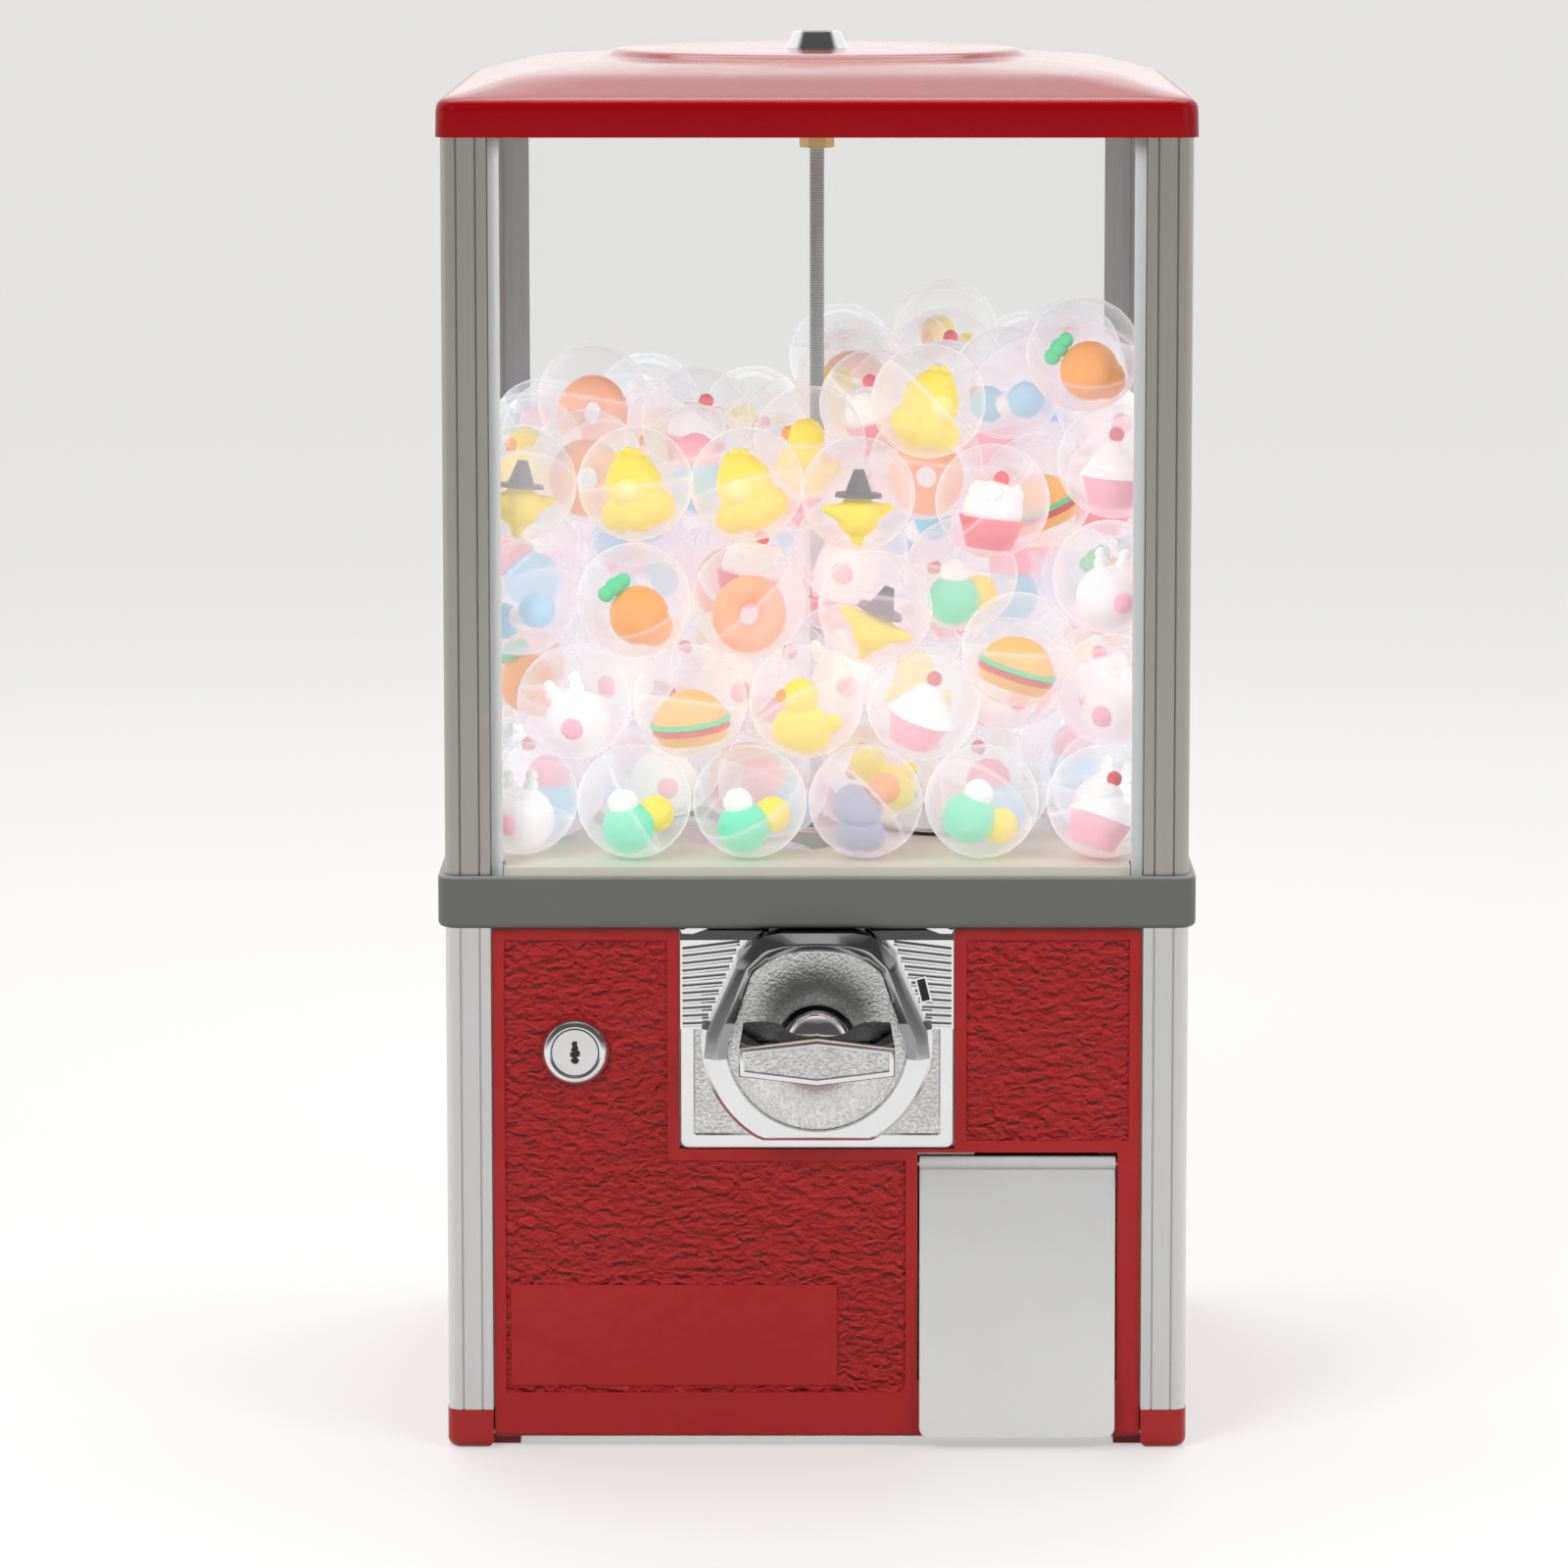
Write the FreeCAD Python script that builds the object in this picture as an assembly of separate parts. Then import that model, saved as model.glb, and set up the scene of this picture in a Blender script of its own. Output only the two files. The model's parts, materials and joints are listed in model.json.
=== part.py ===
"""Counter-top vending machine for toy capsules, in millimetres.

The front faces -Y, +X is to the right and +Z is up. The pieces are drawn round the centre rod and
then moved back, so that the origin is on the floor in the middle of the whole machine.
"""
import FreeCAD, Part
import math
import os
import random

V = FreeCAD.Vector

# Case
BODY = 310.0
COLLAR_BOTTOM = 222.0
COLLAR_HEIGHT = 22.0
COLLAR_OVERHANG = 3.0
COLLAR_FLANGE = 3.0
COLLAR_FLANGE_DROP = 3.0
COLLAR_FLANGE_REACH = 31.0
LID_BOTTOM = 550.5
LID_SKIRT = 15.5
LID_WALL = 1.8
LID_OVERHANG = 2.0
LID_SLOPE_WIDTH = 35.0
LID_SLOPE_RISE = 9.5
LID_CROWN_RISE = 3.0
LID_DISC_RADIUS = 90.0
LID_DISC_RISE = 3.0
FOOT_HEIGHT = 16.5
FOOT_PROUD = 0.4
FOOT_ROUND = 4.0
FOOT_REACH = 30.0
LEDGE_HEIGHT = 5.0
LEDGE_SET = 9.4
PLATE_THICKNESS = 1.5

# Corner posts
POST_FACE = 19.0
POST_CORE = 12.0
POST_LIP = 24.0
POST_RADIUS = 6.0
POST_OUTER_LIP = 3.0
POST_INNER_LIP = 2.0
POST_GROOVES = (6.5, 14.5)
GROOVE_DEPTH = 0.5
PORT_AT = 7.0
SCREW_RADIUS = 2.0
SCREW_GRIP = 18.0

# Panes and panels
PANE_THICKNESS = 3.0
SHEET = 1.2
HEM = 10.0
PANEL_SET = 1.5
PANEL_BOTTOM = 4.5
PANEL_BORDER = 5.0
PANEL_FIELD_DEPTH = 0.8
LABEL_HEIGHT = 43.0
LABEL_WIDTH = 137.0
LABEL_RISE = 0.5
HINGE_PIN_RADIUS = 1.2
HINGE_PIN_GRIP = 6.0

# Panel lock
LOCK_INSET = 54.0
LOCK_DROP = 52.5
LOCK_BEZEL_RADIUS = 14.4
LOCK_BEZEL_HEIGHT = 4.0
LOCK_BARREL_RADIUS = 11.5
LOCK_PLUG_RADIUS = 9.6
LOCK_LENGTH = 20.0
LOCK_NUT = 3.5
KEYWAY_DEPTH = 8.0
KEYWAY_HALF = 4.8
KEYWAY_NARROW = 1.0
KEYWAY_WIDE = 2.1
CAM_THICKNESS = 2.0
CAM_WIDTH = 14.0
CAM_STEP = 18.5
CAM_BITE = 4.0

# Flap
FLAP_INSET = 71.0
FLAP_WIDTH = 82.0
FLAP_THICKNESS = 3.0
FLAP_FLOOR_GAP = 5.3
FLAP_LAP = 23.5
FLAP_BELOW_MECH = 7.0
FLAP_PIN_RADIUS = 1.5
FLAP_KNUCKLE_RADIUS = 3.0
FLAP_CORNER = 4.0
FLAP_SIDE_GAP = 0.85

# Capsules and dispensing wheel
CAPSULE_DIAMETER = 48.0
CAPSULE_WALL = 1.2
CAPSULE_NECK = 3.0
CAPSULE_NECK_BELOW = 1.0
CAPSULE_NECK_SET = 0.5
CAPSULE_NECK_WALL = 1.0
TOY_GAP = 0.3
TOY_NECK_GAP = 0.8
TOY_LEAN = 22.0
TOY_SPIN = 30.0
TOY_GRID = 24
PILE_COUNT = 160
PILE_SPARE = 0.3
PILE_JITTER = 6.0
POCKETS = 4
POCKET_CIRCLE_INSET = 97.0
POCKET_SPARE = 2.5
POCKET_WALL = 3.0
OUTLET_ANGLE = -15.0
RELIEF_RADIUS = 15.0
WHEEL_HUB_DROP = 8.0
WHEEL_FLANGE = 4.0
DECK_RISE = 2.5
DECK_THICKNESS = 3.0
WELL_FLOOR = 3.0
WELL_WALL = 2.5
GUARD_THICKNESS = 1.5
GUARD_WIDTH = 36.0
GUARD_INSET = 33.0

# Toys that the front of the pile shows, with their places across from the middle and up from the floor
FRONT_TOYS = (
    ("blob", -46, 458), ("blob", 52, 469), ("blob", -48, 402), ("capped_star", -109, 433),
    ("capped_star", -13, 444), ("capped_star", 18, 375), ("doughnut", -75, 431), ("doughnut", 21, 446),
    ("doughnut", -16, 379), ("sundae", 39, 428), ("sundae", -34, 362), ("carrot", 96, 426),
    ("carrot", -93, 361), ("burger", 62, 408), ("burger", -59, 341), ("burger", 66, 335), ("bow", 92, 449),
    ("bow", -87, 386), ("duck", 11, 339), ("duck", -4, 413), ("rabbit", 96, 377), ("rabbit", 96, 314),
    ("rabbit", -98, 312), ("rabbit", -105, 279), ("mint_pair", 71, 357), ("mint_pair", 66, 292),
    ("mint_pair", -62, 292), ("mint_pair", -68, 265), ("stones", -5, 298), ("carrot", 100, 353),
    ("carrot", -123, 317), ("cupcake", 128, 254), ("two_tone", 96, 267), ("duck", 46, 258),
    ("two_tone", -9, 258), ("rabbit", -30, 300), ("cupcake", 40, 300),
)
OTHER_TOYS = ("rabbit", "cupcake", "two_tone", "bow", "rabbit", "doughnut", "duck", "sundae")
FRONT_PULL = 0.55

# Gear drive: one turn of the handle brings the next pocket to the outlet
PINION_TEETH = 10
TOOTH_LENGTH = 9.0
ADDENDUM = 2.9
DEDENDUM = 3.4
TOOTH_ROOT_HALF = 3.3
TOOTH_TIP_HALF = 1.6
PINION_FACE = 8.0

# Coin mechanism
PLATE_HALF = 57.0
PLATE_BELOW = 47.5
PLATE_ABOVE = 45.6
PLATE_SET = 2.5
PLATE_BORDER = 5.5
PLATE_BORDER_RISE = 1.0
DIAL_RADIUS = 39.4
RING_WIDTH = 6.5
RING_FORWARD = 10.0
HOOD_FORWARD = 16.0
HOOD_HALF = 48.0
COIN_RADIUS = 13.0
COIN_SLOT = 2.8
CARRIER_THICKNESS = 4.8
DIAL_THICKNESS = 3.3
DIAL_DISH = 1.8
HANDLE_FORWARD = 35.0
HANDLE_HALF = 32.0
HANDLE_END_HALF = 5.7
HANDLE_MID_HALF = 10.5
HANDLE_BOSS_RADIUS = 12.0
HANDLE_RIM = 2.6
HANDLE_RECESS = 0.8
SHAFT_RADIUS = 5.0
BRACKET_THICKNESS = 2.0
BRACKET_HALF = 66.0
MECH_DEPTH = 33.0
MECH_WALL = 3.0
RATCHET_TEETH = 12
RATCHET_RADIUS = 20.0
RATCHET_THICKNESS = 6.0
PAWL_THICKNESS = 5.0
PAWL_PIN_RADIUS = 2.0

# Rod and lid lock
ROD_RADIUS = 3.1
ROD_TOP_BELOW_LID = 8.0
ROD_BELOW_BOSS = 9.0
ROD_BOSS = 10.0
ROD_WASHER_RADIUS = 9.0
ROD_WASHER = 1.2
ROD_NUT_ACROSS = 10.0
ROD_NUT = 5.0
BUSH_RADIUS = 6.0
LID_LOCK_BASE_RADIUS = 13.3
LID_LOCK_TOP_RADIUS = 10.2
LID_LOCK_HEIGHT = 7.0
LID_LOCK_NECK_RADIUS = 9.5
LID_LOCK_PLUG_RADIUS = 7.0
LID_BARREL_RADIUS = 6.3
LID_BARREL_BELOW = 12.0

# Chute and cash box
CHUTE_SLOPE = 27.0
CHUTE_WALL = 2.0
CHUTE_SIDE = 52.0
CASH_BOX_HEIGHT = 60.0
CASH_BOX_WALL = 2.0

# Clearances
RUN_FIT = 0.05
PRESS_FIT = 0.01
SLOT_FIT = 0.4
SMALL_GAP = 0.3
PANEL_GAP = 0.5

# Places worked out from the sizes above
half = BODY / 2
collar_top = COLLAR_BOTTOM + COLLAR_HEIGHT
flange_top = collar_top - COLLAR_FLANGE_DROP
flange_bottom = flange_top - COLLAR_FLANGE
lid_rim = LID_BOTTOM + LID_SKIRT
post_top = lid_rim - LID_WALL - 0.1
slot = PANE_THICKNESS + SLOT_FIT
lip_front = POST_OUTER_LIP + slot
lip_back = lip_front + POST_INNER_LIP
pane_front = POST_OUTER_LIP + SLOT_FIT / 2
pane_back = pane_front + PANE_THICKNESS
port_radius = SCREW_RADIUS + 0.1

capsule_radius = CAPSULE_DIAMETER / 2
neck_bore = capsule_radius - CAPSULE_WALL - CAPSULE_NECK_SET - CAPSULE_NECK_WALL
pocket_radius = capsule_radius + POCKET_SPARE
deck_top = collar_top + DECK_RISE
deck_bottom = deck_top - DECK_THICKNESS
wheel_top = deck_top - GUARD_THICKNESS - 1.7
floor_top = wheel_top - CAPSULE_DIAMETER - SMALL_GAP - 0.2
floor_bottom = floor_top - WELL_FLOOR
wheel_bottom = floor_top + 0.8
pocket_circle = half - POCKET_CIRCLE_INSET
drum_radius = pocket_circle + pocket_radius + POCKET_WALL
crown_radius = drum_radius + TOOTH_LENGTH / 2
flange_radius = crown_radius + TOOTH_LENGTH / 2 + 1.5
well_radius = flange_radius + 1.2
tooth_tip = floor_top + 1.2
pitch_plane = tooth_tip + ADDENDUM
tooth_root = pitch_plane + DEDENDUM
guard_reach = half - GUARD_INSET
outlet = V(pocket_circle * math.cos(math.radians(OUTLET_ANGLE)),
           pocket_circle * math.sin(math.radians(OUTLET_ANGLE)), 0)
pile_floor = deck_top

crown_teeth = PINION_TEETH * POCKETS
pinion_pitch = crown_radius / POCKETS
axis_z = pitch_plane - pinion_pitch
pinion_front = -crown_radius - PINION_FACE / 2
pinion_back = pinion_front + PINION_FACE

panel_front = -half + PANEL_SET
panel_back = -half + lip_front - 0.2
panel_thickness = panel_back - panel_front
panel_half = half - POST_FACE - PANEL_GAP
panel_top = COLLAR_BOTTOM - PANEL_GAP
hinge_y = (panel_front + panel_back) / 2
hinge_z = PANEL_BOTTOM + panel_thickness / 2

plate_bottom = axis_z - PLATE_BELOW
plate_top = min(axis_z + PLATE_ABOVE, panel_top)
bracket_front = panel_back + PANEL_GAP
bracket_back = bracket_front + BRACKET_THICKNESS
plate_face = -half + PLATE_SET
dial_hole = DIAL_RADIUS + 0.6
ring_front = -half - RING_FORWARD
hood_front = -half - HOOD_FORWARD
handle_front = -half - HANDLE_FORWARD
dial_front = ring_front - 1.5
dial_back = dial_front + DIAL_THICKNESS
carrier_front = dial_back + 0.2
carrier_back = carrier_front + CARRIER_THICKNESS
mech_back = bracket_back + MECH_DEPTH

flap_x = half - FLAP_INSET
flap_axis_z = plate_bottom - FLAP_BELOW_MECH
flap_axis_y = panel_front + FLAP_KNUCKLE_RADIUS
flap_sill = FLAP_FLOOR_GAP + FLAP_LAP
flap_lintel = flap_axis_z + FLAP_KNUCKLE_RADIUS + 2.0
flap_drop = flap_axis_z - flap_sill
flap_tilt = math.degrees(math.atan2(
    flap_axis_y + FLAP_THICKNESS / 2 - panel_front + 2 * SMALL_GAP, flap_drop))
opening_half = FLAP_WIDTH / 2 + FLAP_SIDE_GAP

lock_x = LOCK_INSET - half
lock_z = COLLAR_BOTTOM - LOCK_DROP
lock_back = panel_front + LOCK_LENGTH
lid_slope_top = lid_rim + LID_SLOPE_RISE
lid_crown = lid_slope_top + LID_CROWN_RISE
lid_top = lid_crown + LID_DISC_RISE
rod_top = lid_rim - ROD_TOP_BELOW_LID
hub_top = wheel_top - WHEEL_HUB_DROP
middle_shift = -(handle_front + half + COLLAR_OVERHANG) / 2


def box(x0, x1, y0, y1, z0, z1):
    return Part.makeBox(x1 - x0, y1 - y0, z1 - z0, V(x0, y0, z0))


def corner_box(u0, u1, v0, v1, z0, z1):
    """Box measured inwards from the front left corner of the case."""
    return box(u0 - half, u1 - half, v0 - half, v1 - half, z0, z1)


def rod_x(radius, x0, x1, y, z):
    return Part.makeCylinder(radius, x1 - x0, V(x0, y, z), V(1, 0, 0))


def rod_y(radius, y0, y1, x=0.0, z=0.0):
    return Part.makeCylinder(radius, y1 - y0, V(x, y0, z), V(0, 1, 0))


def rod_z(radius, z0, z1, x=0.0, y=0.0):
    return Part.makeCylinder(radius, z1 - z0, V(x, y, z0), V(0, 0, 1))


def tube_z(outer, inner, z0, z1):
    return rod_z(outer, z0, z1).cut(rod_z(inner, z0 - 1, z1 + 1))


def prism(points, along):
    wire = Part.makePolygon(points + points[:1])
    return Part.Face(wire).extrude(along)


def front_prism(points, y0, y1):
    """Outline given as (x, z), run from y0 back to y1."""
    return prism([V(x, y0, z) for x, z in points], V(0, y1 - y0, 0))


def hexagon(across_flats):
    reach = across_flats / math.sqrt(3)
    return [(reach * math.cos(math.radians(60 * k)), reach * math.sin(math.radians(60 * k)))
            for k in range(6)]


def hex_z(across_flats, z0, z1):
    return prism([V(x, y, z0) for x, y in hexagon(across_flats)], V(0, 0, z1 - z0))


def rounded_square(reach, radius, z):
    """Closed wire of four sides and four quarter arcs."""
    side = reach - radius
    edges = []
    for k in range(4):
        turn = FreeCAD.Rotation(V(0, 0, 1), 90 * k)
        bend = radius * math.sqrt(0.5)
        ends = [V(-side, -reach, z), V(side, -reach, z), V(reach, -side, z)]
        start, stop, after = [turn.multVec(p) for p in ends]
        middle = turn.multVec(V(side + bend, -side - bend, z))
        edges.append(Part.makeLine(start, stop))
        edges.append(Part.Arc(stop, middle, after).toShape())
    return Part.Wire(edges)


def rounded_prism(reach, radius, z0, z1):
    return Part.Face(rounded_square(reach, radius, z0)).extrude(V(0, 0, z1 - z0))


def turned(shape, quarter):
    copy = shape.copy()
    copy.rotate(V(0, 0, 0), V(0, 0, 1), 90 * quarter)
    return copy


def four_corners(shape):
    return [turned(shape, k) for k in range(4)]


def fused(first, *others):
    return first.fuse(list(others)).removeSplitter()


def edges_at(shape, z):
    return [e for e in shape.Edges if abs(e.BoundBox.ZMin - z) < 0.01 and abs(e.BoundBox.ZMax - z) < 0.01]


def post(z0, z1):
    """Extruded corner post with a screw port and a slot for a pane on each inner side."""
    core = corner_box(0, POST_CORE, 0, POST_CORE, z0, z1)
    legs = []
    for reach, v0, v1 in ((POST_FACE, 0, POST_OUTER_LIP), (POST_LIP, lip_front, lip_back)):
        legs.append(corner_box(POST_CORE, reach, v0, v1, z0, z1))
        legs.append(corner_box(v0, v1, POST_CORE, reach, z0, z1))
    shape = fused(core, *legs)
    shape = shape.common(rounded_prism(half, POST_RADIUS, z0, z1))
    cuts = [rod_z(port_radius, z0 - 1, z1 + 1, PORT_AT - half, PORT_AT - half)]
    for at in POST_GROOVES:
        mouth = GROOVE_DEPTH + 0.1
        profile = [(at - mouth, -0.1), (at + mouth, -0.1), (at, GROOVE_DEPTH)]
        for swap in (False, True):
            points = [(v, u) if swap else (u, v) for u, v in profile]
            cuts.append(prism([V(u - half, v - half, z0 - 1) for u, v in points], V(0, 0, z1 - z0 + 2)))
    return shape.cut(cuts)


def foot():
    """Corner cap under a post, with a low ledge inside for the base plate."""
    block = corner_box(-FOOT_PROUD, POST_FACE, -FOOT_PROUD, POST_FACE, 0, FOOT_HEIGHT)
    block = block.common(rounded_prism(half + FOOT_PROUD, POST_RADIUS + FOOT_PROUD, 0, FOOT_HEIGHT))
    block = block.makeFillet(FOOT_ROUND, edges_at(block, 0))
    ledge = corner_box(LEDGE_SET, FOOT_REACH, LEDGE_SET, FOOT_REACH, 0, LEDGE_HEIGHT)
    shape = fused(block, ledge)
    at = PORT_AT - half
    head_room = rod_z(4.2, -1, LEDGE_HEIGHT, at, at)
    return shape.cut([rod_z(port_radius, -1, FOOT_HEIGHT + 1, at, at), head_room])


def foot_screw():
    at = PORT_AT - half
    head = rod_z(3.8, LEDGE_HEIGHT - 3.0, LEDGE_HEIGHT, at, at)
    return fused(head, rod_z(SCREW_RADIUS, LEDGE_HEIGHT, FOOT_HEIGHT + SCREW_GRIP, at, at))


def post_stud():
    at = PORT_AT - half
    return rod_z(SCREW_RADIUS, flange_bottom - SCREW_GRIP, flange_top + SCREW_GRIP, at, at)


def base_plate():
    reach = half - LEDGE_SET - 0.2
    sheet = box(-reach, reach, -reach, reach, LEDGE_HEIGHT, LEDGE_HEIGHT + PLATE_THICKNESS)
    notch = POST_FACE + 0.4
    corner = corner_box(0, notch, 0, notch, 0, FOOT_HEIGHT)
    return sheet.cut(four_corners(corner))


def sheet_panel():
    """Plain panel in the slots of two lower posts, drawn at the front."""
    z0 = FOOT_HEIGHT + SMALL_GAP
    z1 = flange_bottom - SMALL_GAP
    edge = POST_CORE + PANEL_GAP
    reach = half - edge
    y0 = pane_front - half
    sheet = box(-reach, reach, y0, y0 + SHEET, z0, z1)
    apron = box(-panel_half, panel_half, y0, y0 + SHEET, PANEL_BOTTOM, z0)
    hems = [box(s * reach - (HEM if s > 0 else 0), s * reach + (0 if s > 0 else HEM),
                y0, y0 + PANE_THICKNESS, z0, z1) for s in (-1, 1)]
    return fused(sheet, apron, *hems)


def pane():
    reach = half - POST_CORE - PANEL_GAP
    return box(-reach, reach, pane_front - half, pane_back - half, flange_top, post_top - SMALL_GAP)


def collar():
    outer = half + COLLAR_OVERHANG
    inner = half + 0.15
    ring = rounded_prism(outer, POST_RADIUS + COLLAR_OVERHANG, COLLAR_BOTTOM, collar_top)
    ring = ring.makeFillet(2.4, edges_at(ring, COLLAR_BOTTOM))
    ring = ring.makeChamfer(1.0, edges_at(ring, collar_top))
    ring = ring.cut(rounded_prism(inner, POST_RADIUS + 0.15, COLLAR_BOTTOM - 1, collar_top + 1))
    flange = rounded_prism(inner + 0.5, POST_RADIUS + 0.65, flange_bottom, flange_top)
    window = half - COLLAR_FLANGE_REACH
    flange = flange.cut(box(-window, window, -window, window, flange_bottom - 1, flange_top + 1))
    at = PORT_AT - half
    hole = rod_z(port_radius, flange_bottom - 1, flange_top + 1, at, at)
    return fused(ring, flange).cut(four_corners(hole))


def front_panel():
    """Cast door: smooth border round recessed fields, hinged on two pins at its bottom corners."""
    door = box(-panel_half, panel_half, panel_front, panel_back, hinge_z, panel_top)
    bead = rod_x(panel_thickness / 2, -panel_half, panel_half, hinge_y, hinge_z)
    notch_half = PLATE_HALF + PANEL_GAP
    notch_bottom = plate_bottom - PANEL_GAP
    opening = (flap_x - opening_half, flap_x + opening_half)
    cuts = [box(-notch_half, notch_half, panel_front - 1, panel_back + 1, notch_bottom, panel_top + 1),
            box(*opening, panel_front - 1, panel_back + 1, flap_sill, flap_lintel),
            rod_y(LOCK_BARREL_RADIUS + 0.1, panel_front - 1, panel_back + 1, lock_x, lock_z)]
    field_back = panel_front + PANEL_FIELD_DEPTH
    field_bottom = flap_sill - PANEL_BORDER
    left = PANEL_BORDER - panel_half
    under_right = opening[0] - PANEL_BORDER
    fields = [(left, -notch_half - PANEL_BORDER, field_bottom, panel_top - PANEL_BORDER),
              (left, under_right, field_bottom, notch_bottom - PANEL_BORDER),
              (notch_half + PANEL_BORDER, -left, flap_lintel + PANEL_BORDER, panel_top - PANEL_BORDER)]
    cuts += [box(x0, x1, panel_front - 1, field_back, z0, z1) for x0, x1, z0, z1 in fields]
    for side in (-1, 1):
        ends = sorted((side * (panel_half - HINGE_PIN_GRIP), side * (panel_half + 1)))
        cuts.append(rod_x(HINGE_PIN_RADIUS + RUN_FIT, *ends, hinge_y, hinge_z))
    pin = flap_pin_ends()
    cuts.append(rod_x(FLAP_PIN_RADIUS + PRESS_FIT, pin[0], pin[1], flap_axis_y, flap_axis_z))
    shape = fused(door, bead).cut(cuts)
    pad_left = left + 2.0
    pad_right = min(under_right - 2.0, pad_left + LABEL_WIDTH)
    pad = box(pad_left, pad_right, field_back - LABEL_RISE, field_back + 0.2,
              field_bottom + 3.0, field_bottom + 3.0 + LABEL_HEIGHT)
    return fused(shape, pad)


def flap_pin_ends():
    return (flap_x - opening_half - 3.5, flap_x + opening_half + 3.5)


def hinge_pin(side):
    """Pin pressed into a front foot, on which a bottom corner of the door turns."""
    inside = half - POST_FACE
    ends = sorted((side * (inside + 8.0), side * (panel_half - HINGE_PIN_GRIP + 0.5)))
    return rod_x(HINGE_PIN_RADIUS, *ends, hinge_y, hinge_z)


def flap_door():
    """Delivery flap: it hangs from its pin and leans on the lower border of the door."""
    reach = FLAP_WIDTH / 2
    bottom = FLAP_FLOOR_GAP - flap_axis_z
    t = FLAP_THICKNESS / 2
    plate = box(-reach, reach, -t, t, bottom, 0)
    corners = [e for e in plate.Edges if e.BoundBox.ZMax < bottom + 0.01 and e.BoundBox.XLength < 0.01]
    plate = plate.makeFillet(FLAP_CORNER, corners)
    shape = fused(plate, rod_x(FLAP_KNUCKLE_RADIUS, -reach, reach, 0, 0))
    shape = shape.cut(rod_x(FLAP_PIN_RADIUS + RUN_FIT, -reach - 1, reach + 1, 0, 0))
    shape.rotate(V(0, 0, 0), V(1, 0, 0), -flap_tilt)
    shape.translate(V(flap_x, flap_axis_y, flap_axis_z))
    return shape


def flap_pin():
    ends = flap_pin_ends()
    return rod_x(FLAP_PIN_RADIUS, ends[0], ends[1], flap_axis_y, flap_axis_z)


def lock_body():
    bezel = Part.makeCone(LOCK_BEZEL_RADIUS - 2.4, LOCK_BEZEL_RADIUS, LOCK_BEZEL_HEIGHT,
                          V(lock_x, panel_front - LOCK_BEZEL_HEIGHT, lock_z), V(0, 1, 0))
    barrel = rod_y(LOCK_BARREL_RADIUS, panel_front, lock_back, lock_x, lock_z)
    bore = rod_y(LOCK_PLUG_RADIUS + RUN_FIT, panel_front - 10, lock_back + 1, lock_x, lock_z)
    return fused(bezel, barrel).cut(bore)


def lock_nut():
    outline = [(lock_x + x, lock_z + z) for x, z in hexagon(28.0)]
    nut = front_prism(outline, panel_back, panel_back + LOCK_NUT)
    return nut.cut(rod_y(LOCK_BARREL_RADIUS + PRESS_FIT, panel_back - 1, panel_back + 9, lock_x, lock_z))


def keyway_outline():
    """Upright slot with a ward to each side, as (x, z) about the plug's axis."""
    long, slim, wide = KEYWAY_HALF, KEYWAY_NARROW, KEYWAY_WIDE
    return [(-slim, long), (slim, long), (slim, 0.3 * long), (wide, 0.1 * long), (wide, -0.3 * long),
            (slim, -0.4 * long), (slim, -long), (-0.6 * slim, -long), (-0.6 * slim, -0.45 * long),
            (-wide, -0.35 * long), (-wide, 0.0), (-slim, 0.15 * long)]


def lock_plug():
    front = panel_front - LOCK_BEZEL_HEIGHT + 0.6
    plug = rod_y(LOCK_PLUG_RADIUS, front, lock_back + 0.4, lock_x, lock_z)
    tail_back = lock_back + 0.4 + CAM_THICKNESS + 1.0
    tail = box(lock_x - 3, lock_x + 3, lock_back, tail_back, lock_z - 3, lock_z + 3)
    outline = [(lock_x + x, lock_z + z) for x, z in keyway_outline()]
    keyway = front_prism(outline, front - 1, front + KEYWAY_DEPTH)
    return fused(plug, tail).cut(keyway)


def lock_cam():
    """Joggled cam, stored hanging down; a quarter turn takes its tip behind the lip of the post."""
    w = CAM_WIDTH / 2
    y0 = lock_back + 0.4
    y1 = y0 + CAM_THICKNESS
    tip_front = -half + lip_back + 0.7
    length = POST_LIP - half - lock_x
    reach = lock_z + length - CAM_BITE
    step = lock_z - CAM_STEP
    hub = box(lock_x - w, lock_x + w, y0, y1, step - CAM_THICKNESS, lock_z + w)
    riser = box(lock_x - w, lock_x + w, tip_front, y1, step - CAM_THICKNESS, step)
    tip = box(lock_x - w, lock_x + w, tip_front, tip_front + CAM_THICKNESS, reach, step)
    hole = box(lock_x - 3 - PRESS_FIT, lock_x + 3 + PRESS_FIT, y0 - 1, y1 + 1,
               lock_z - 3 - PRESS_FIT, lock_z + 3 + PRESS_FIT)
    return fused(hub, riser, tip).cut(hole)


def lid_crown_loft(inset, drop):
    """Sloping crown of the lid, from its rim to the foot of the raised disc."""
    rim = half + LID_OVERHANG - inset
    slope = rim - LID_SLOPE_WIDTH
    inner = LID_DISC_RADIUS + 4.0 - inset
    sections = [rounded_square(rim - 2.0, POST_RADIUS + 2.0, lid_rim - drop),
                rounded_square(slope, POST_RADIUS + 18.0, lid_slope_top - drop),
                rounded_square(inner, inner * 0.6, lid_crown - drop)]
    return Part.makeLoft(sections, True, True)


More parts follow.
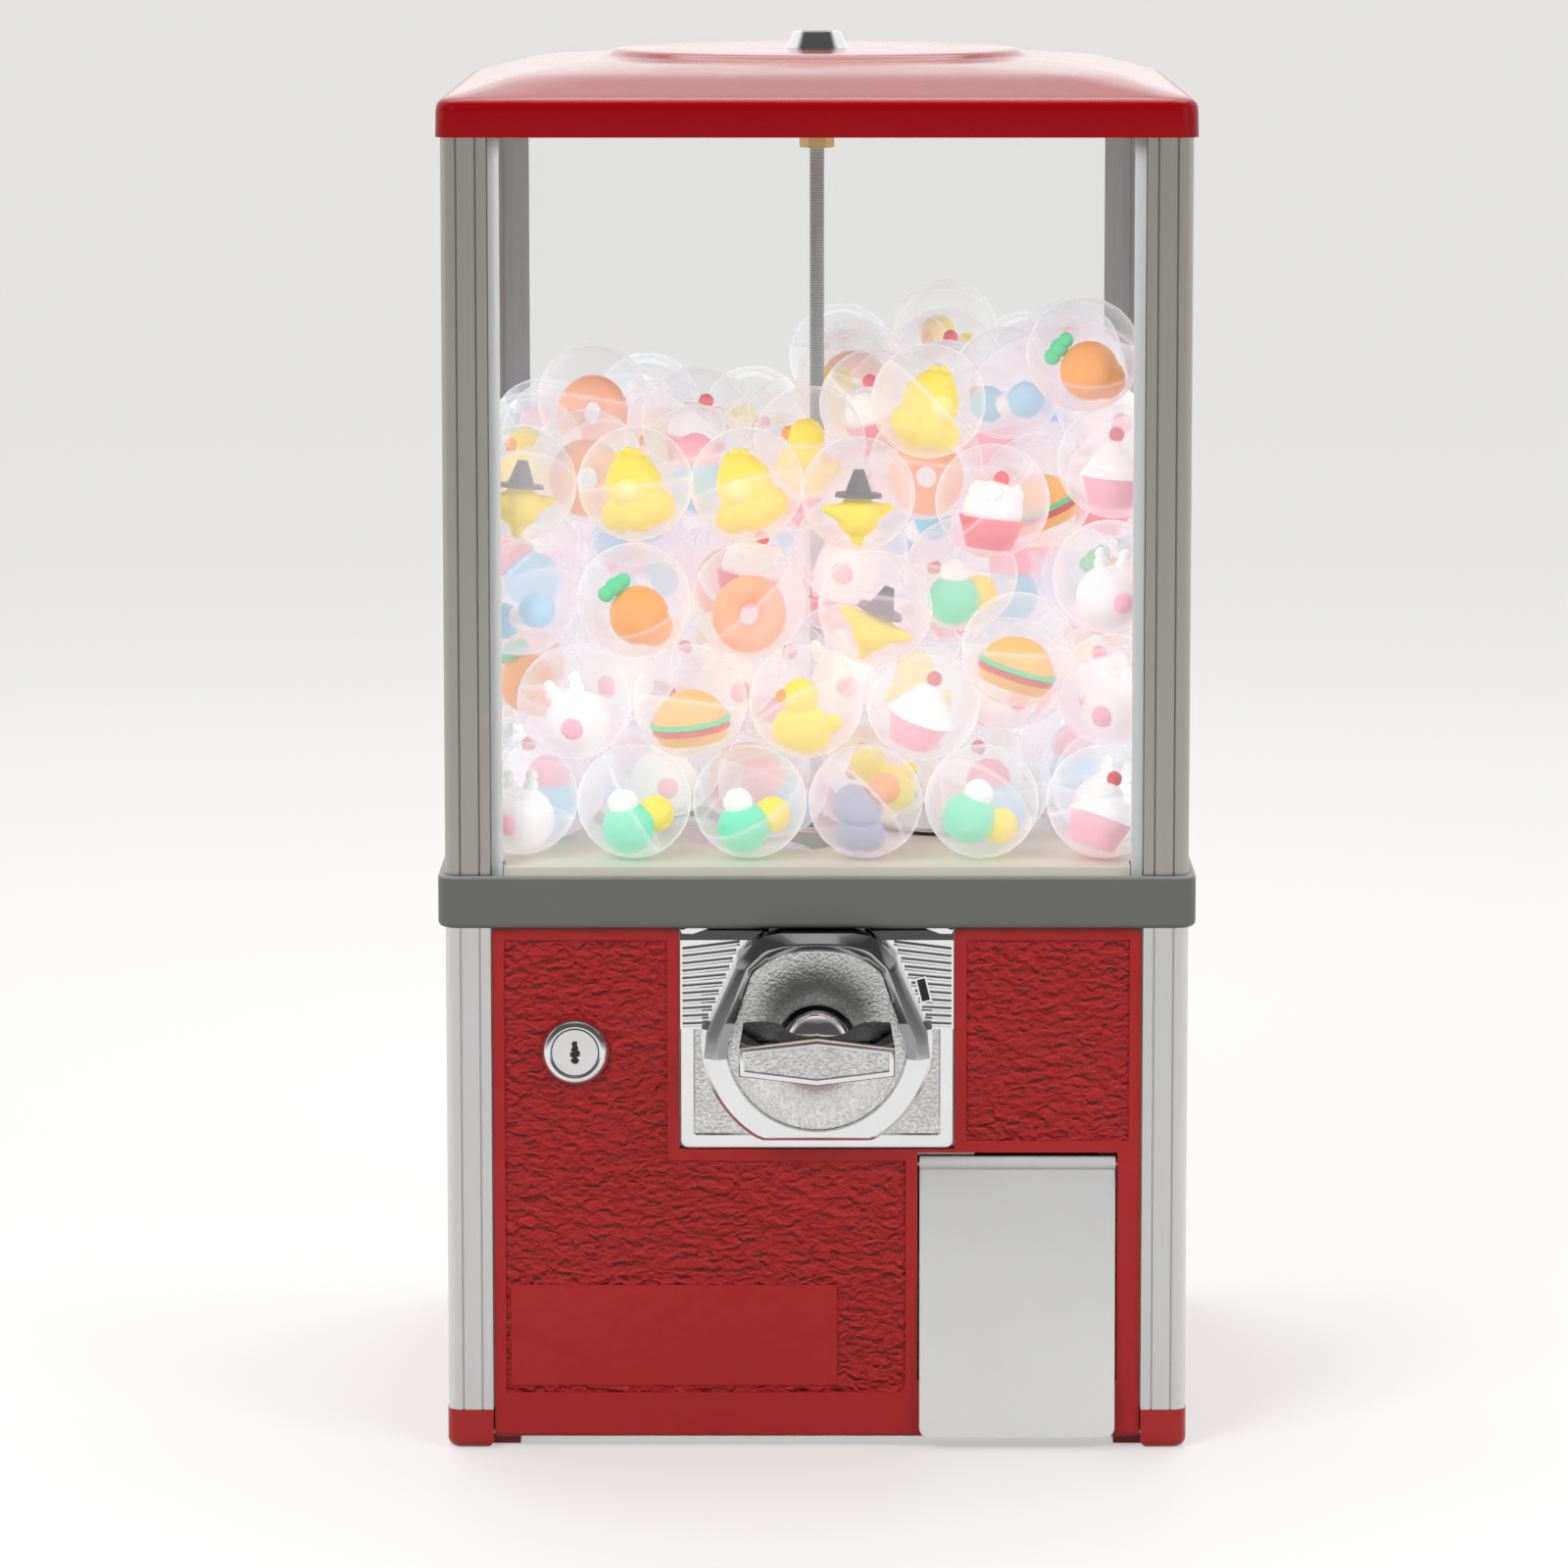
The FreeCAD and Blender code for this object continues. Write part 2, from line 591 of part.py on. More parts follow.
def lid():
    rim = half + LID_OVERHANG
    skirt = Part.makeLoft([rounded_square(rim, POST_RADIUS + LID_OVERHANG, LID_BOTTOM),
                           rounded_square(rim - 0.6, POST_RADIUS + LID_OVERHANG, lid_rim - 2.5),
                           rounded_square(rim - 2.0, POST_RADIUS + LID_OVERHANG, lid_rim)], True, True)
    hollow = rounded_prism(half + 0.2, POST_RADIUS + 0.2, LID_BOTTOM - 1, lid_rim - LID_WALL)
    disc = Part.makeCone(LID_DISC_RADIUS, LID_DISC_RADIUS - 4.0, LID_DISC_RISE + 1.0,
                         V(0, 0, lid_crown - 1.0))
    outer = fused(skirt, lid_crown_loft(0, 0), disc)
    under = lid_crown_loft(20.0, 2.2)
    recess = rod_z(LID_DISC_RADIUS - 24.0, lid_rim, lid_top - 2.5)
    hole = rod_z(LID_LOCK_NECK_RADIUS + 0.1, LID_BOTTOM, lid_top + 1)
    return outer.cut([hollow, under, recess, hole])


def lid_lock_bezel():
    cap = Part.makeCone(LID_LOCK_BASE_RADIUS, LID_LOCK_TOP_RADIUS, LID_LOCK_HEIGHT, V(0, 0, lid_top))
    neck = rod_z(LID_LOCK_NECK_RADIUS, lid_rim - 2.0, lid_top)
    bore = rod_z(LID_LOCK_PLUG_RADIUS + RUN_FIT, lid_rim - 9, lid_top + 20)
    return fused(cap, neck).cut(bore)


def lid_lock_nut():
    top = lid_top - 2.5
    nut = hex_z(24.0, top - 5.0, top)
    return nut.cut(rod_z(LID_LOCK_NECK_RADIUS + PRESS_FIT, top - 9, top + 9))


def lid_lock_barrel():
    """Turning plug with a long brass barrel that screws on to the centre rod."""
    bottom = LID_BOTTOM - LID_BARREL_BELOW
    plug = rod_z(LID_LOCK_PLUG_RADIUS, lid_rim - 2.0, lid_top + LID_LOCK_HEIGHT - 0.6)
    barrel = rod_z(LID_BARREL_RADIUS, bottom, lid_rim - 2.0)
    end = hex_z(13.0, bottom, bottom + 9.0)
    bore = rod_z(ROD_RADIUS + 0.2, bottom - 1, rod_top + 1.0)
    slot_top = lid_top + LID_LOCK_HEIGHT
    key_slot = box(-0.9, 0.9, -3.8, 3.8, slot_top - 7.0, slot_top + 1)
    return fused(plug, barrel, end).cut([bore, key_slot])


def centre_rod():
    return rod_z(ROD_RADIUS, floor_bottom - ROD_BOSS - ROD_BELOW_BOSS, rod_top)


def rod_fasteners():
    """Washer and nut above the bush and below the boss of the tray."""
    upper = hub_top + SMALL_GAP
    lower = floor_bottom - ROD_BOSS
    stack = ROD_WASHER + ROD_NUT
    bore = rod_z(ROD_RADIUS + PRESS_FIT, lower - 2 * stack, upper + 2 * stack)
    pieces = [rod_z(ROD_WASHER_RADIUS, upper, upper + ROD_WASHER),
              hex_z(ROD_NUT_ACROSS, upper + ROD_WASHER, upper + stack),
              rod_z(ROD_WASHER_RADIUS, lower - ROD_WASHER, lower),
              hex_z(ROD_NUT_ACROSS, lower - stack, lower - ROD_WASHER)]
    return Part.makeCompound([p.cut(bore) for p in pieces])


def wheel_bush():
    sleeve = rod_z(BUSH_RADIUS, floor_top, hub_top + SMALL_GAP)
    shoulder = rod_z(BUSH_RADIUS + 4.0, floor_top, floor_top + 0.6)
    return fused(sleeve, shoulder).cut(rod_z(ROD_RADIUS + PRESS_FIT, floor_top - 1, deck_top))


def guard_outline(spare, z0, z1):
    disc = rod_z(pocket_radius + 2.0 + spare, z0, z1, outlet.x, outlet.y)
    side = GUARD_WIDTH / 2 + spare
    strip = box(pocket_circle, guard_reach + spare, -side, side, z0, z1)
    strip.rotate(V(0, 0, 0), V(0, 0, 1), OUTLET_ANGLE)
    return fused(disc, strip)


def guard_screw_places():
    return [FreeCAD.Rotation(V(0, 0, 1), OUTLET_ANGLE).multVec(V(guard_reach - 8.0, s * 10.0, 0))
            for s in (-1, 1)]


def outlet_guard():
    """Plate over the outlet, flush with the deck, so that only the wheel fills the chute."""
    plate = guard_outline(0, deck_top - GUARD_THICKNESS, deck_top)
    return plate.cut([rod_z(1.6, deck_top - 5, deck_top + 1, p.x, p.y) for p in guard_screw_places()])


def guard_screws():
    top = deck_top - 0.1
    return Part.makeCompound([rod_z(1.5, top - 7.0, top, p.x, p.y) for p in guard_screw_places()])


def hopper_tray():
    """Floor of the bin, with a round well for the wheel, an outlet and a window for the pinion."""
    reach = half - pane_back - SMALL_GAP
    deck = box(-reach, reach, -reach, reach, deck_bottom, deck_top)
    rib = box(-reach, reach, -reach, reach, flange_top, deck_bottom)
    rib = rib.cut(box(3.5 - reach, reach - 3.5, 3.5 - reach, reach - 3.5, flange_top - 1, deck_bottom + 1))
    well = rod_z(well_radius + WELL_WALL, floor_bottom, deck_bottom)
    boss = rod_z(14.0, floor_bottom - ROD_BOSS, floor_bottom)
    shape = fused(deck, rib, well, boss)
    corner = corner_box(0, POST_LIP + SMALL_GAP, 0, POST_LIP + SMALL_GAP, flange_top - 1, deck_top + 1)
    window = box(-pinion_pitch, pinion_pitch, pinion_front - 2.0, pinion_back + 2.0,
                 floor_bottom - 1, floor_top + 1)
    cuts = four_corners(corner)
    cuts += [rod_z(well_radius, floor_top, deck_top + 1), window,
             rod_z(pocket_radius + 1.0, floor_bottom - 1, floor_top + 1, outlet.x, outlet.y),
             rod_z(ROD_RADIUS + 0.1, floor_bottom - ROD_BOSS - 1, floor_top + 1),
             guard_outline(SMALL_GAP, deck_top - GUARD_THICKNESS, deck_top + 1)]
    cuts += [rod_z(1.6, deck_top - 9, deck_top + 1, p.x, p.y) for p in guard_screw_places()]
    shape = shape.cut(cuts)
    for p in guard_screw_places():
        shape = shape.fuse(rod_z(3.5, deck_top - 8.5, deck_bottom + 0.5, p.x, p.y).cut(
            rod_z(1.6, deck_top - 9, deck_top, p.x, p.y)))
    return shape.removeSplitter()


def crown_tooth():
    """One radial tooth of the toothed ring, drawn along +X and pointing down."""
    x0 = drum_radius - 0.5
    points = [(-TOOTH_ROOT_HALF, tooth_root), (-TOOTH_TIP_HALF, tooth_tip),
              (TOOTH_TIP_HALF, tooth_tip), (TOOTH_ROOT_HALF, tooth_root)]
    points = [(-TOOTH_ROOT_HALF, tooth_root + 0.5)] + points + [(TOOTH_ROOT_HALF, tooth_root + 0.5)]
    return prism([V(x0, y, z) for y, z in points], V(drum_radius + TOOTH_LENGTH - x0, 0, 0))


def pocket_places():
    """Angles of the wheel's pockets; the first one stands over the outlet."""
    return [OUTLET_ANGLE + 360.0 / POCKETS * k for k in range(POCKETS)]


def on_circle(radius, degrees, z=0.0):
    return V(radius * math.cos(math.radians(degrees)), radius * math.sin(math.radians(degrees)), z)


def dispensing_wheel():
    drum = rod_z(drum_radius, wheel_bottom, wheel_top)
    rim = rod_z(flange_radius, tooth_root, tooth_root + WHEEL_FLANGE)
    cuts = [rod_z(BUSH_RADIUS + RUN_FIT, wheel_bottom - 1, wheel_top), rod_z(16.0, hub_top, wheel_top + 1)]
    for angle in pocket_places():
        p = on_circle(pocket_circle, angle)
        q = on_circle(pocket_circle, angle + 180.0 / POCKETS)
        cuts.append(rod_z(pocket_radius, wheel_bottom - 1, wheel_top + 1, p.x, p.y))
        cuts.append(rod_z(RELIEF_RADIUS, wheel_bottom - 1, wheel_top - 3.0, q.x, q.y))
    teeth = []
    step = 360.0 / crown_teeth
    for k in range(crown_teeth):
        tooth = crown_tooth()
        tooth.rotate(V(0, 0, 0), V(0, 0, 1), -90 + step * (k + 0.5))
        teeth.append(tooth)
    return drum.cut(cuts).fuse([rim.cut(rod_z(drum_radius - 0.2, tooth_root - 1, wheel_top))] + teeth)


def drive_pinion():
    """Pinion of the coin mechanism; a tooth points up, into a gap of the toothed ring."""
    root = pinion_pitch - DEDENDUM
    tip = pinion_pitch + ADDENDUM
    points = []
    for k in range(PINION_TEETH):
        middle = math.radians(90 - 360.0 / PINION_TEETH * k)
        for radius, width in ((root, TOOTH_ROOT_HALF), (tip, TOOTH_TIP_HALF),
                              (tip, -TOOTH_TIP_HALF), (root, -TOOTH_ROOT_HALF)):
            angle = middle + math.asin(width / radius)
            points.append((radius * math.cos(angle), axis_z + radius * math.sin(angle)))
    gear = front_prism(points, pinion_front, pinion_back)
    return gear.cut(rod_y(SHAFT_RADIUS + PRESS_FIT, pinion_front - 1, pinion_back + 1, 0, axis_z))


def pinion_screw():
    head = rod_y(8.0, pinion_back, pinion_back + 2.5, 0, axis_z)
    return fused(head, rod_y(2.5, pinion_back - 10.0, pinion_back, 0, axis_z))


def drive_shaft():
    shaft = rod_y(SHAFT_RADIUS, dial_back - 2.0, pinion_back, 0, axis_z)
    return shaft.cut(rod_y(2.5 + PRESS_FIT, pinion_back - 10.5, pinion_back + 1, 0, axis_z))


def hood_outline():
    """Outline of the faceted hood over the dial, as (x, z) about the axis."""
    top = min(PLATE_ABOVE, COLLAR_BOTTOM - PANEL_GAP - axis_z)
    return [(-HOOD_HALF, -6), (-HOOD_HALF, 6), (-35, top - 10), (-25, top), (25, top), (35, top - 10),
            (HOOD_HALF, 6), (HOOD_HALF, -6)]


def stud_places():
    return [(sx * (PLATE_HALF - 6.0), z) for sx in (-1, 1) for z in (plate_bottom + 6.0, plate_top - 6.0)]


def mech_faceplate():
    """Cast faceplate with a raised border, a ring round the dial and a hood with the coin slot."""
    plate = box(-PLATE_HALF, PLATE_HALF, plate_face, bracket_front, plate_bottom, plate_top)
    rim = box(-PLATE_HALF, PLATE_HALF, plate_face - PLATE_BORDER_RISE, plate_face, plate_bottom, plate_top)
    b = PLATE_BORDER
    rim = rim.cut(box(b - PLATE_HALF, PLATE_HALF - b, plate_face - 9, plate_face + 9,
                      plate_bottom + b, plate_top - b))
    ring = rod_y(dial_hole + RING_WIDTH, ring_front, plate_face, 0, axis_z)
    ring = ring.cut(box(-90, 90, ring_front - 1, plate_face + 1, axis_z, axis_z + 90))
    ring = ring.common(box(-90, 90, ring_front, plate_face, plate_bottom + 1.0, plate_top))
    hood = front_prism([(x, axis_z + z) for x, z in hood_outline()], hood_front, plate_face)
    studs = [rod_y(2.0, bracket_front, bracket_back + 6.0, x, z) for x, z in stud_places()]
    shape = fused(plate, rim, ring, hood, *studs)
    slot_front = carrier_front + (CARRIER_THICKNESS - COIN_SLOT) / 2
    coin_slot = box(-COIN_RADIUS - 1, COIN_RADIUS + 1, slot_front, slot_front + COIN_SLOT,
                    axis_z + 30, axis_z + 60)
    return shape.cut([rod_y(dial_hole, hood_front - 1, bracket_front + 1, 0, axis_z), coin_slot])


def mech_bracket():
    """Steel plate behind the door that hangs the coin mechanism from the collar."""
    plate = box(-BRACKET_HALF, BRACKET_HALF, bracket_front, bracket_back, plate_bottom - 4.0, flange_bottom)
    shelf = box(-BRACKET_HALF, BRACKET_HALF, bracket_front, COLLAR_FLANGE_REACH - half,
                flange_bottom - BRACKET_THICKNESS, flange_bottom)
    holes = [rod_y(2.1, bracket_front - 1, bracket_back + 1, x, z) for x, z in stud_places()]
    holes += [rod_y(1.6, bracket_front - 1, bracket_back + 1, x, z) for x, z in body_screw_places()]
    holes.append(rod_y(dial_hole + 1.0, bracket_front - 1, bracket_back + 1, 0, axis_z))
    return fused(plate, shelf).cut(holes)


def mech_nuts():
    nuts = []
    for x, z in stud_places():
        outline = [(x + u, z + w) for u, w in hexagon(7.0)]
        nut = front_prism(outline, bracket_back, bracket_back + 3.2)
        nuts.append(nut.cut(rod_y(2.0 + PRESS_FIT, bracket_back - 1, bracket_back + 9, x, z)))
    return nuts


def body_screw_places():
    places = [on_circle(dial_hole + 7.0, 60.0 * k) for k in range(6)]
    return [(p.x, axis_z + p.y) for p in places]


def mech_body():
    """Cup behind the bracket: it holds the ratchet and the rear bearing of the shaft."""
    r = dial_hole + 0.5
    flange = rod_y(r + 10.0, bracket_back, bracket_back + 3.0, 0, axis_z)
    cup = rod_y(r + MECH_WALL, bracket_back, mech_back, 0, axis_z)
    bearing = rod_y(SHAFT_RADIUS + 4.0, mech_back - 8.0, mech_back + 6.0, 0, axis_z)
    px, pz = pawl_pivot()
    pillar = rod_y(PAWL_PIN_RADIUS + 2.5, pawl_front() + PAWL_THICKNESS + SMALL_GAP, mech_back, px, pz)
    hollow = rod_y(r, bracket_back - 1, mech_back - MECH_WALL, 0, axis_z)
    coin_drop = box(-15, 15, bracket_back + 4.0, mech_back - 5.0, axis_z - r - 9, axis_z - 30)
    shape = fused(flange, cup).cut([hollow, coin_drop])
    shape = fused(shape, bearing, pillar)
    bores = [rod_y(SHAFT_RADIUS + RUN_FIT, mech_back - 20, mech_back + 20, 0, axis_z),
             rod_y(PAWL_PIN_RADIUS + PRESS_FIT, pawl_front(), mech_back + 1, px, pz)]
    bores += [rod_y(1.6, bracket_back - 1, bracket_back + 9, x, z) for x, z in body_screw_places()]
    return shape.cut(bores)


def mech_body_screws():
    screws = []
    for x, z in body_screw_places():
        head = rod_y(2.8, bracket_back + 3.0, bracket_back + 5.0, x, z)
        screws.append(fused(head, rod_y(1.5, bracket_front + 0.2, bracket_back + 3.0, x, z)))
    return screws


def ratchet_front():
    return bracket_back + 3.0


def pawl_front():
    return ratchet_front() + (RATCHET_THICKNESS - PAWL_THICKNESS) / 2


def pawl_pivot():
    return (-27.0, axis_z + 17.0)


def ratchet_wheel():
    points = []
    for k in range(RATCHET_TEETH):
        for radius, degrees in ((RATCHET_RADIUS, 360.0 / RATCHET_TEETH * k),
                                (RATCHET_RADIUS - 3.5, 360.0 / RATCHET_TEETH * k + 3.0)):
            p = on_circle(radius, degrees)
            points.append((p.x, axis_z + p.y))
    wheel = front_prism(points, ratchet_front(), ratchet_front() + RATCHET_THICKNESS)
    return wheel.cut(rod_y(SHAFT_RADIUS + PRESS_FIT, ratchet_front() - 1, ratchet_front() + 20, 0, axis_z))


def ratchet_pawl():
    """Pawl that falls by its own weight; stored just clear of the tips of the ratchet."""
    px, pz = pawl_pivot()
    tip = on_circle(RATCHET_RADIUS + 0.5, 112.0)
    heel = on_circle(RATCHET_RADIUS + 5.5, 114.0)
    outline = [(px, pz - 4.6), (tip.x, axis_z + tip.y), (heel.x, axis_z + heel.y), (px, pz + 4.6)]
    arm = front_prism(outline, pawl_front(), pawl_front() + PAWL_THICKNESS)
    shape = fused(arm, rod_y(4.6, pawl_front(), pawl_front() + PAWL_THICKNESS, px, pz))
    return shape.cut(rod_y(PAWL_PIN_RADIUS + RUN_FIT, pawl_front() - 1, pawl_front() + 20, px, pz))


def pawl_pin():
    px, pz = pawl_pivot()
    return rod_y(PAWL_PIN_RADIUS, pawl_front() - 0.8, mech_back, px, pz)


def coin_carrier():
    """Disc behind the dial, with a pocket at the top for one coin."""
    disc = rod_y(DIAL_RADIUS, carrier_front, carrier_back, 0, axis_z)
    slot_front = carrier_front + (CARRIER_THICKNESS - COIN_SLOT) / 2
    coin_z = axis_z + DIAL_RADIUS - COIN_RADIUS + 1.0
    coin = rod_y(COIN_RADIUS, slot_front, slot_front + COIN_SLOT, 0, coin_z)
    bore = rod_y(SHAFT_RADIUS + PRESS_FIT, carrier_front - 1, carrier_back + 1, 0, axis_z)
    return disc.cut([coin, bore])


def turn_handle():
    """Dished dial with a central boss and the bar that is turned."""
    dial = rod_y(DIAL_RADIUS, dial_front, dial_back, 0, axis_z)
    dish = Part.makeCone(DIAL_RADIUS - 3.0, DIAL_RADIUS - 9.0, DIAL_DISH,
                         V(0, dial_front, axis_z), V(0, 1, 0))
    boss = rod_y(HANDLE_BOSS_RADIUS, dial_front - 4.0, dial_back, 0, axis_z)
    boss = boss.makeFillet(2.5, [e for e in boss.Edges if e.BoundBox.YMax < dial_front - 3.9])

    def bar_outline(rim):
        reach, end, middle = HANDLE_HALF - rim, HANDLE_END_HALF - rim, HANDLE_MID_HALF - rim
        outline = [(-reach, -end), (-reach, end), (0, middle), (reach, end), (reach, -end), (0, -middle)]
        return [(x, axis_z + z) for x, z in outline]

    recess = front_prism(bar_outline(HANDLE_RIM), handle_front - 1, handle_front + HANDLE_RECESS)
    bar = front_prism(bar_outline(0), handle_front, dial_back - 0.5).cut(recess)
    bore = rod_y(SHAFT_RADIUS + PRESS_FIT, dial_back - 2.0, dial_back + 1, 0, axis_z)
    return fused(dial.cut(dish), boss, bar).cut(bore)


def delivery_chute():
    """Drop below the outlet and a ramp that widens towards the flap."""
    slope = math.tan(math.radians(CHUTE_SLOPE))
    front = panel_back + 2.5
    r = pocket_radius + 1.5
    rear = outlet.y + r
    turn = outlet.y - r
    sides = [(outlet.x - r, rear), (outlet.x - r, turn), (flap_x - opening_half + 2, front + 45),
             (flap_x - opening_half + 2, front), (flap_x + opening_half - 2, front),
             (flap_x + opening_half - 2, front + 45), (outlet.x + r, turn), (outlet.x + r, rear)]
    centre_x = sum(x for x, y in sides) / len(sides)
    grown = [(x + math.copysign(CHUTE_WALL, x - centre_x), y + (CHUTE_WALL if y == rear else 0))
             for x, y in sides]
    inside = [(x, y - (5 if y == front else 0)) for x, y in sides]

    def ramp(y):
        return flap_sill + 1.0 + (y - front) * slope

    def side_view(points):
        return prism([V(-200, y, z) for y, z in points], V(400, 0, 0))

    back = rear + CHUTE_WALL
    outer = prism([V(x, y, 0) for x, y in grown], V(0, 0, floor_bottom))
    inner = prism([V(x, y, -1) for x, y in inside], V(0, 0, floor_bottom + 2))
    side_top = min(plate_bottom - 8.0, ramp(turn) + CHUTE_SIDE)
    walls = side_view([(back, ramp(back) - CHUTE_WALL), (front, ramp(front) - CHUTE_WALL),
                       (front, ramp(front) + CHUTE_SIDE), (turn - 20, side_top), (turn, side_top),
                       (turn, floor_bottom), (back, floor_bottom)])
    floor = side_view([(back, ramp(back) - CHUTE_WALL), (front, ramp(front) - CHUTE_WALL),
                       (front, ramp(front)), (back, ramp(back))])
    return fused(outer.cut(inner).common(walls), outer.common(floor))


def cash_box():
    """Open box on the base plate, below the coin drop."""
    bottom = LEDGE_HEIGHT + PLATE_THICKNESS
    x0, x1 = FOOT_REACH + 2 - half, outlet.x - pocket_radius - 14.0
    y0, y1 = FOOT_REACH + 5 - half, half - FOOT_REACH - 10
    outer = box(x0, x1, y0, y1, bottom, bottom + CASH_BOX_HEIGHT)
    w = CASH_BOX_WALL
    return outer.cut(box(x0 + w, x1 - w, y0 + w, y1 - w, bottom + w, bottom + CASH_BOX_HEIGHT + 1))


def capsule_cup():
    """Lower half of a capsule, with the neck that the dome snaps over. Its seam lies at z = 0."""
    inner = capsule_radius - CAPSULE_WALL
    shell = Part.makeSphere(capsule_radius, V(0, 0, 0), V(0, 0, 1), -90, 0).cut(
        Part.makeSphere(inner, V(0, 0, 0), V(0, 0, 1), -90, 90))
    neck = tube_z(inner - CAPSULE_NECK_SET, neck_bore, -CAPSULE_NECK_BELOW, CAPSULE_NECK)
    skin = Part.makeSphere(capsule_radius - CAPSULE_WALL / 2, V(0, 0, 0), V(0, 0, 1), -90, 90)
    root = tube_z(inner + CAPSULE_WALL / 4, neck_bore, -CAPSULE_NECK_BELOW, 0)
    return fused(shell, neck.common(skin), root)


def capsule_dome():
    inner = capsule_radius - CAPSULE_WALL
    return Part.makeSphere(capsule_radius, V(0, 0, 0), V(0, 0, 1), 0, 90).cut(
        Part.makeSphere(inner, V(0, 0, 0), V(0, 0, 1), -90, 90))


def placed(shape, centre, turn):
    copy = shape.copy()
    copy.Placement = FreeCAD.Placement(centre, turn)
    return copy


def random_turn(chance):
    """Random spin, with the seam mostly nearer level than upright."""
    tilt = FreeCAD.Rotation(V(1, 0, 0), chance.uniform(-70, 70))
    spin = FreeCAD.Rotation(V(0, 0, 1), chance.uniform(0, 360))
    return spin.multiply(tilt).multiply(FreeCAD.Rotation(V(0, 0, 1), chance.uniform(0, 360)))


def pile_obstacles():
    """Upright edges inside the bin, as (x, y, radius): the rod and the inner lips of the posts."""
    near = half - POST_LIP
    far = half - lip_back
    corner = [(near, far), (far, near)]
    edges = [(sx * a, sy * b, 0.0) for sx in (-1, 1) for sy in (-1, 1) for a, b in corner]
    return edges + [(0.0, 0.0, ROD_RADIUS)]


def touching_pairs(balls, reach):
    """Pairs of balls that are near each other, found through a grid of cells."""
    cells = {}
    for i, b in enumerate(balls):
        cells.setdefault((int(b[0] // reach), int(b[1] // reach), int(b[2] // reach)), []).append(i)
    pairs = []
    for (cx, cy, cz), members in cells.items():
        for dx in (-1, 0, 1):
            for dy in (-1, 0, 1):
                for dz in (-1, 0, 1):
                    for j in cells.get((cx + dx, cy + dy, cz + dz), ()):
                        pairs += [(i, j) for i in members if i < j]
    return pairs


def push_apart(balls, pairs, radius, obstacles, limit):
    """One pass that moves overlapping balls apart and back into the bin. Returns the worst overlap."""
    worst = 0.0
    for i, j in pairs:
        a, b = balls[i], balls[j]
        dx, dy, dz = b[0] - a[0], b[1] - a[1], b[2] - a[2]
        gap = math.sqrt(dx * dx + dy * dy + dz * dz)
        if gap < 2 * radius:
            worst = max(worst, 2 * radius - gap)
            push = (2 * radius - gap) / gap / 2
            for k, d in enumerate((dx, dy, dz)):
                a[k] -= d * push
                b[k] += d * push
    for b in balls:
        for x, y, r in obstacles:
            dx, dy = b[0] - x, b[1] - y
            gap = math.hypot(dx, dy)
            if gap < radius + r:
                worst = max(worst, radius + r - gap)
                b[0] += dx / gap * (radius + r - gap)
                b[1] += dy / gap * (radius + r - gap)
        b[0] = min(max(b[0], -limit), limit)
        b[1] = min(max(b[1], -limit), limit)
        b[2] = max(b[2], pile_floor + radius)
    return worst


def stacked_balls(chance, radius, limit):
    """Balls in loose layers above the floor, filled from the right, to be dropped from there."""
    across = max(1, int(limit / radius) + 1)
    balls = []
    for k in range(PILE_COUNT):
        layer, place = divmod(k, across * across)
        x = 1 - (place // across + 0.5) / across * 2
        y = 1 - (place % across + 0.5) / across * 2
        z = pile_floor + radius + layer * 2.05 * radius
        balls.append([at + chance.uniform(-PILE_JITTER, PILE_JITTER) for at in (x * limit, y * limit, z)])
    return balls


def settled_pile(chance):
    """Centres of the capsules after they have dropped into the bin and come to rest."""
    radius = capsule_radius + PILE_SPARE
    limit = half - pane_back - radius
    obstacles = pile_obstacles()
    balls = stacked_balls(chance, radius, limit)
    for step in range(200):
        for b in balls:
            b[2] -= 1.5 if step < 130 else 0.4
        pairs = touching_pairs(balls, 2 * radius + 4)
        for _ in range(4):
            push_apart(balls, pairs, radius, obstacles, limit)
    for step in range(2000):
        if step % 10 == 0:
            pairs = touching_pairs(balls, 2 * radius + 6)
        if push_apart(balls, pairs, radius, obstacles, limit) < PILE_SPARE / 6:
            break
    return [V(*b) for b in balls]


def ball(x, y, z, radius):
    """Ball of a toy, with its seam turned away from the planes in which balls meet."""
    return Part.makeSphere(radius, V(x, y, z), V(0.31, 0.47, 0.83))


def cap(z, base, height):
    """Slice of a ball that stands on its flat side."""
    radius = (base * base + height * height) / (2 * height)
    edge = math.degrees(math.asin((radius - height) / radius))
    return Part.makeSphere(radius, V(0, 0, z + height - radius), V(0, 0, 1), edge, 90)


def cone(z, low, high, height, lean=0):
    shape = Part.makeCone(low, high, height)
    shape.rotate(V(0, 0, 0), V(0, 1, 0), lean)
    shape.translate(V(0, 0, z))
    return shape


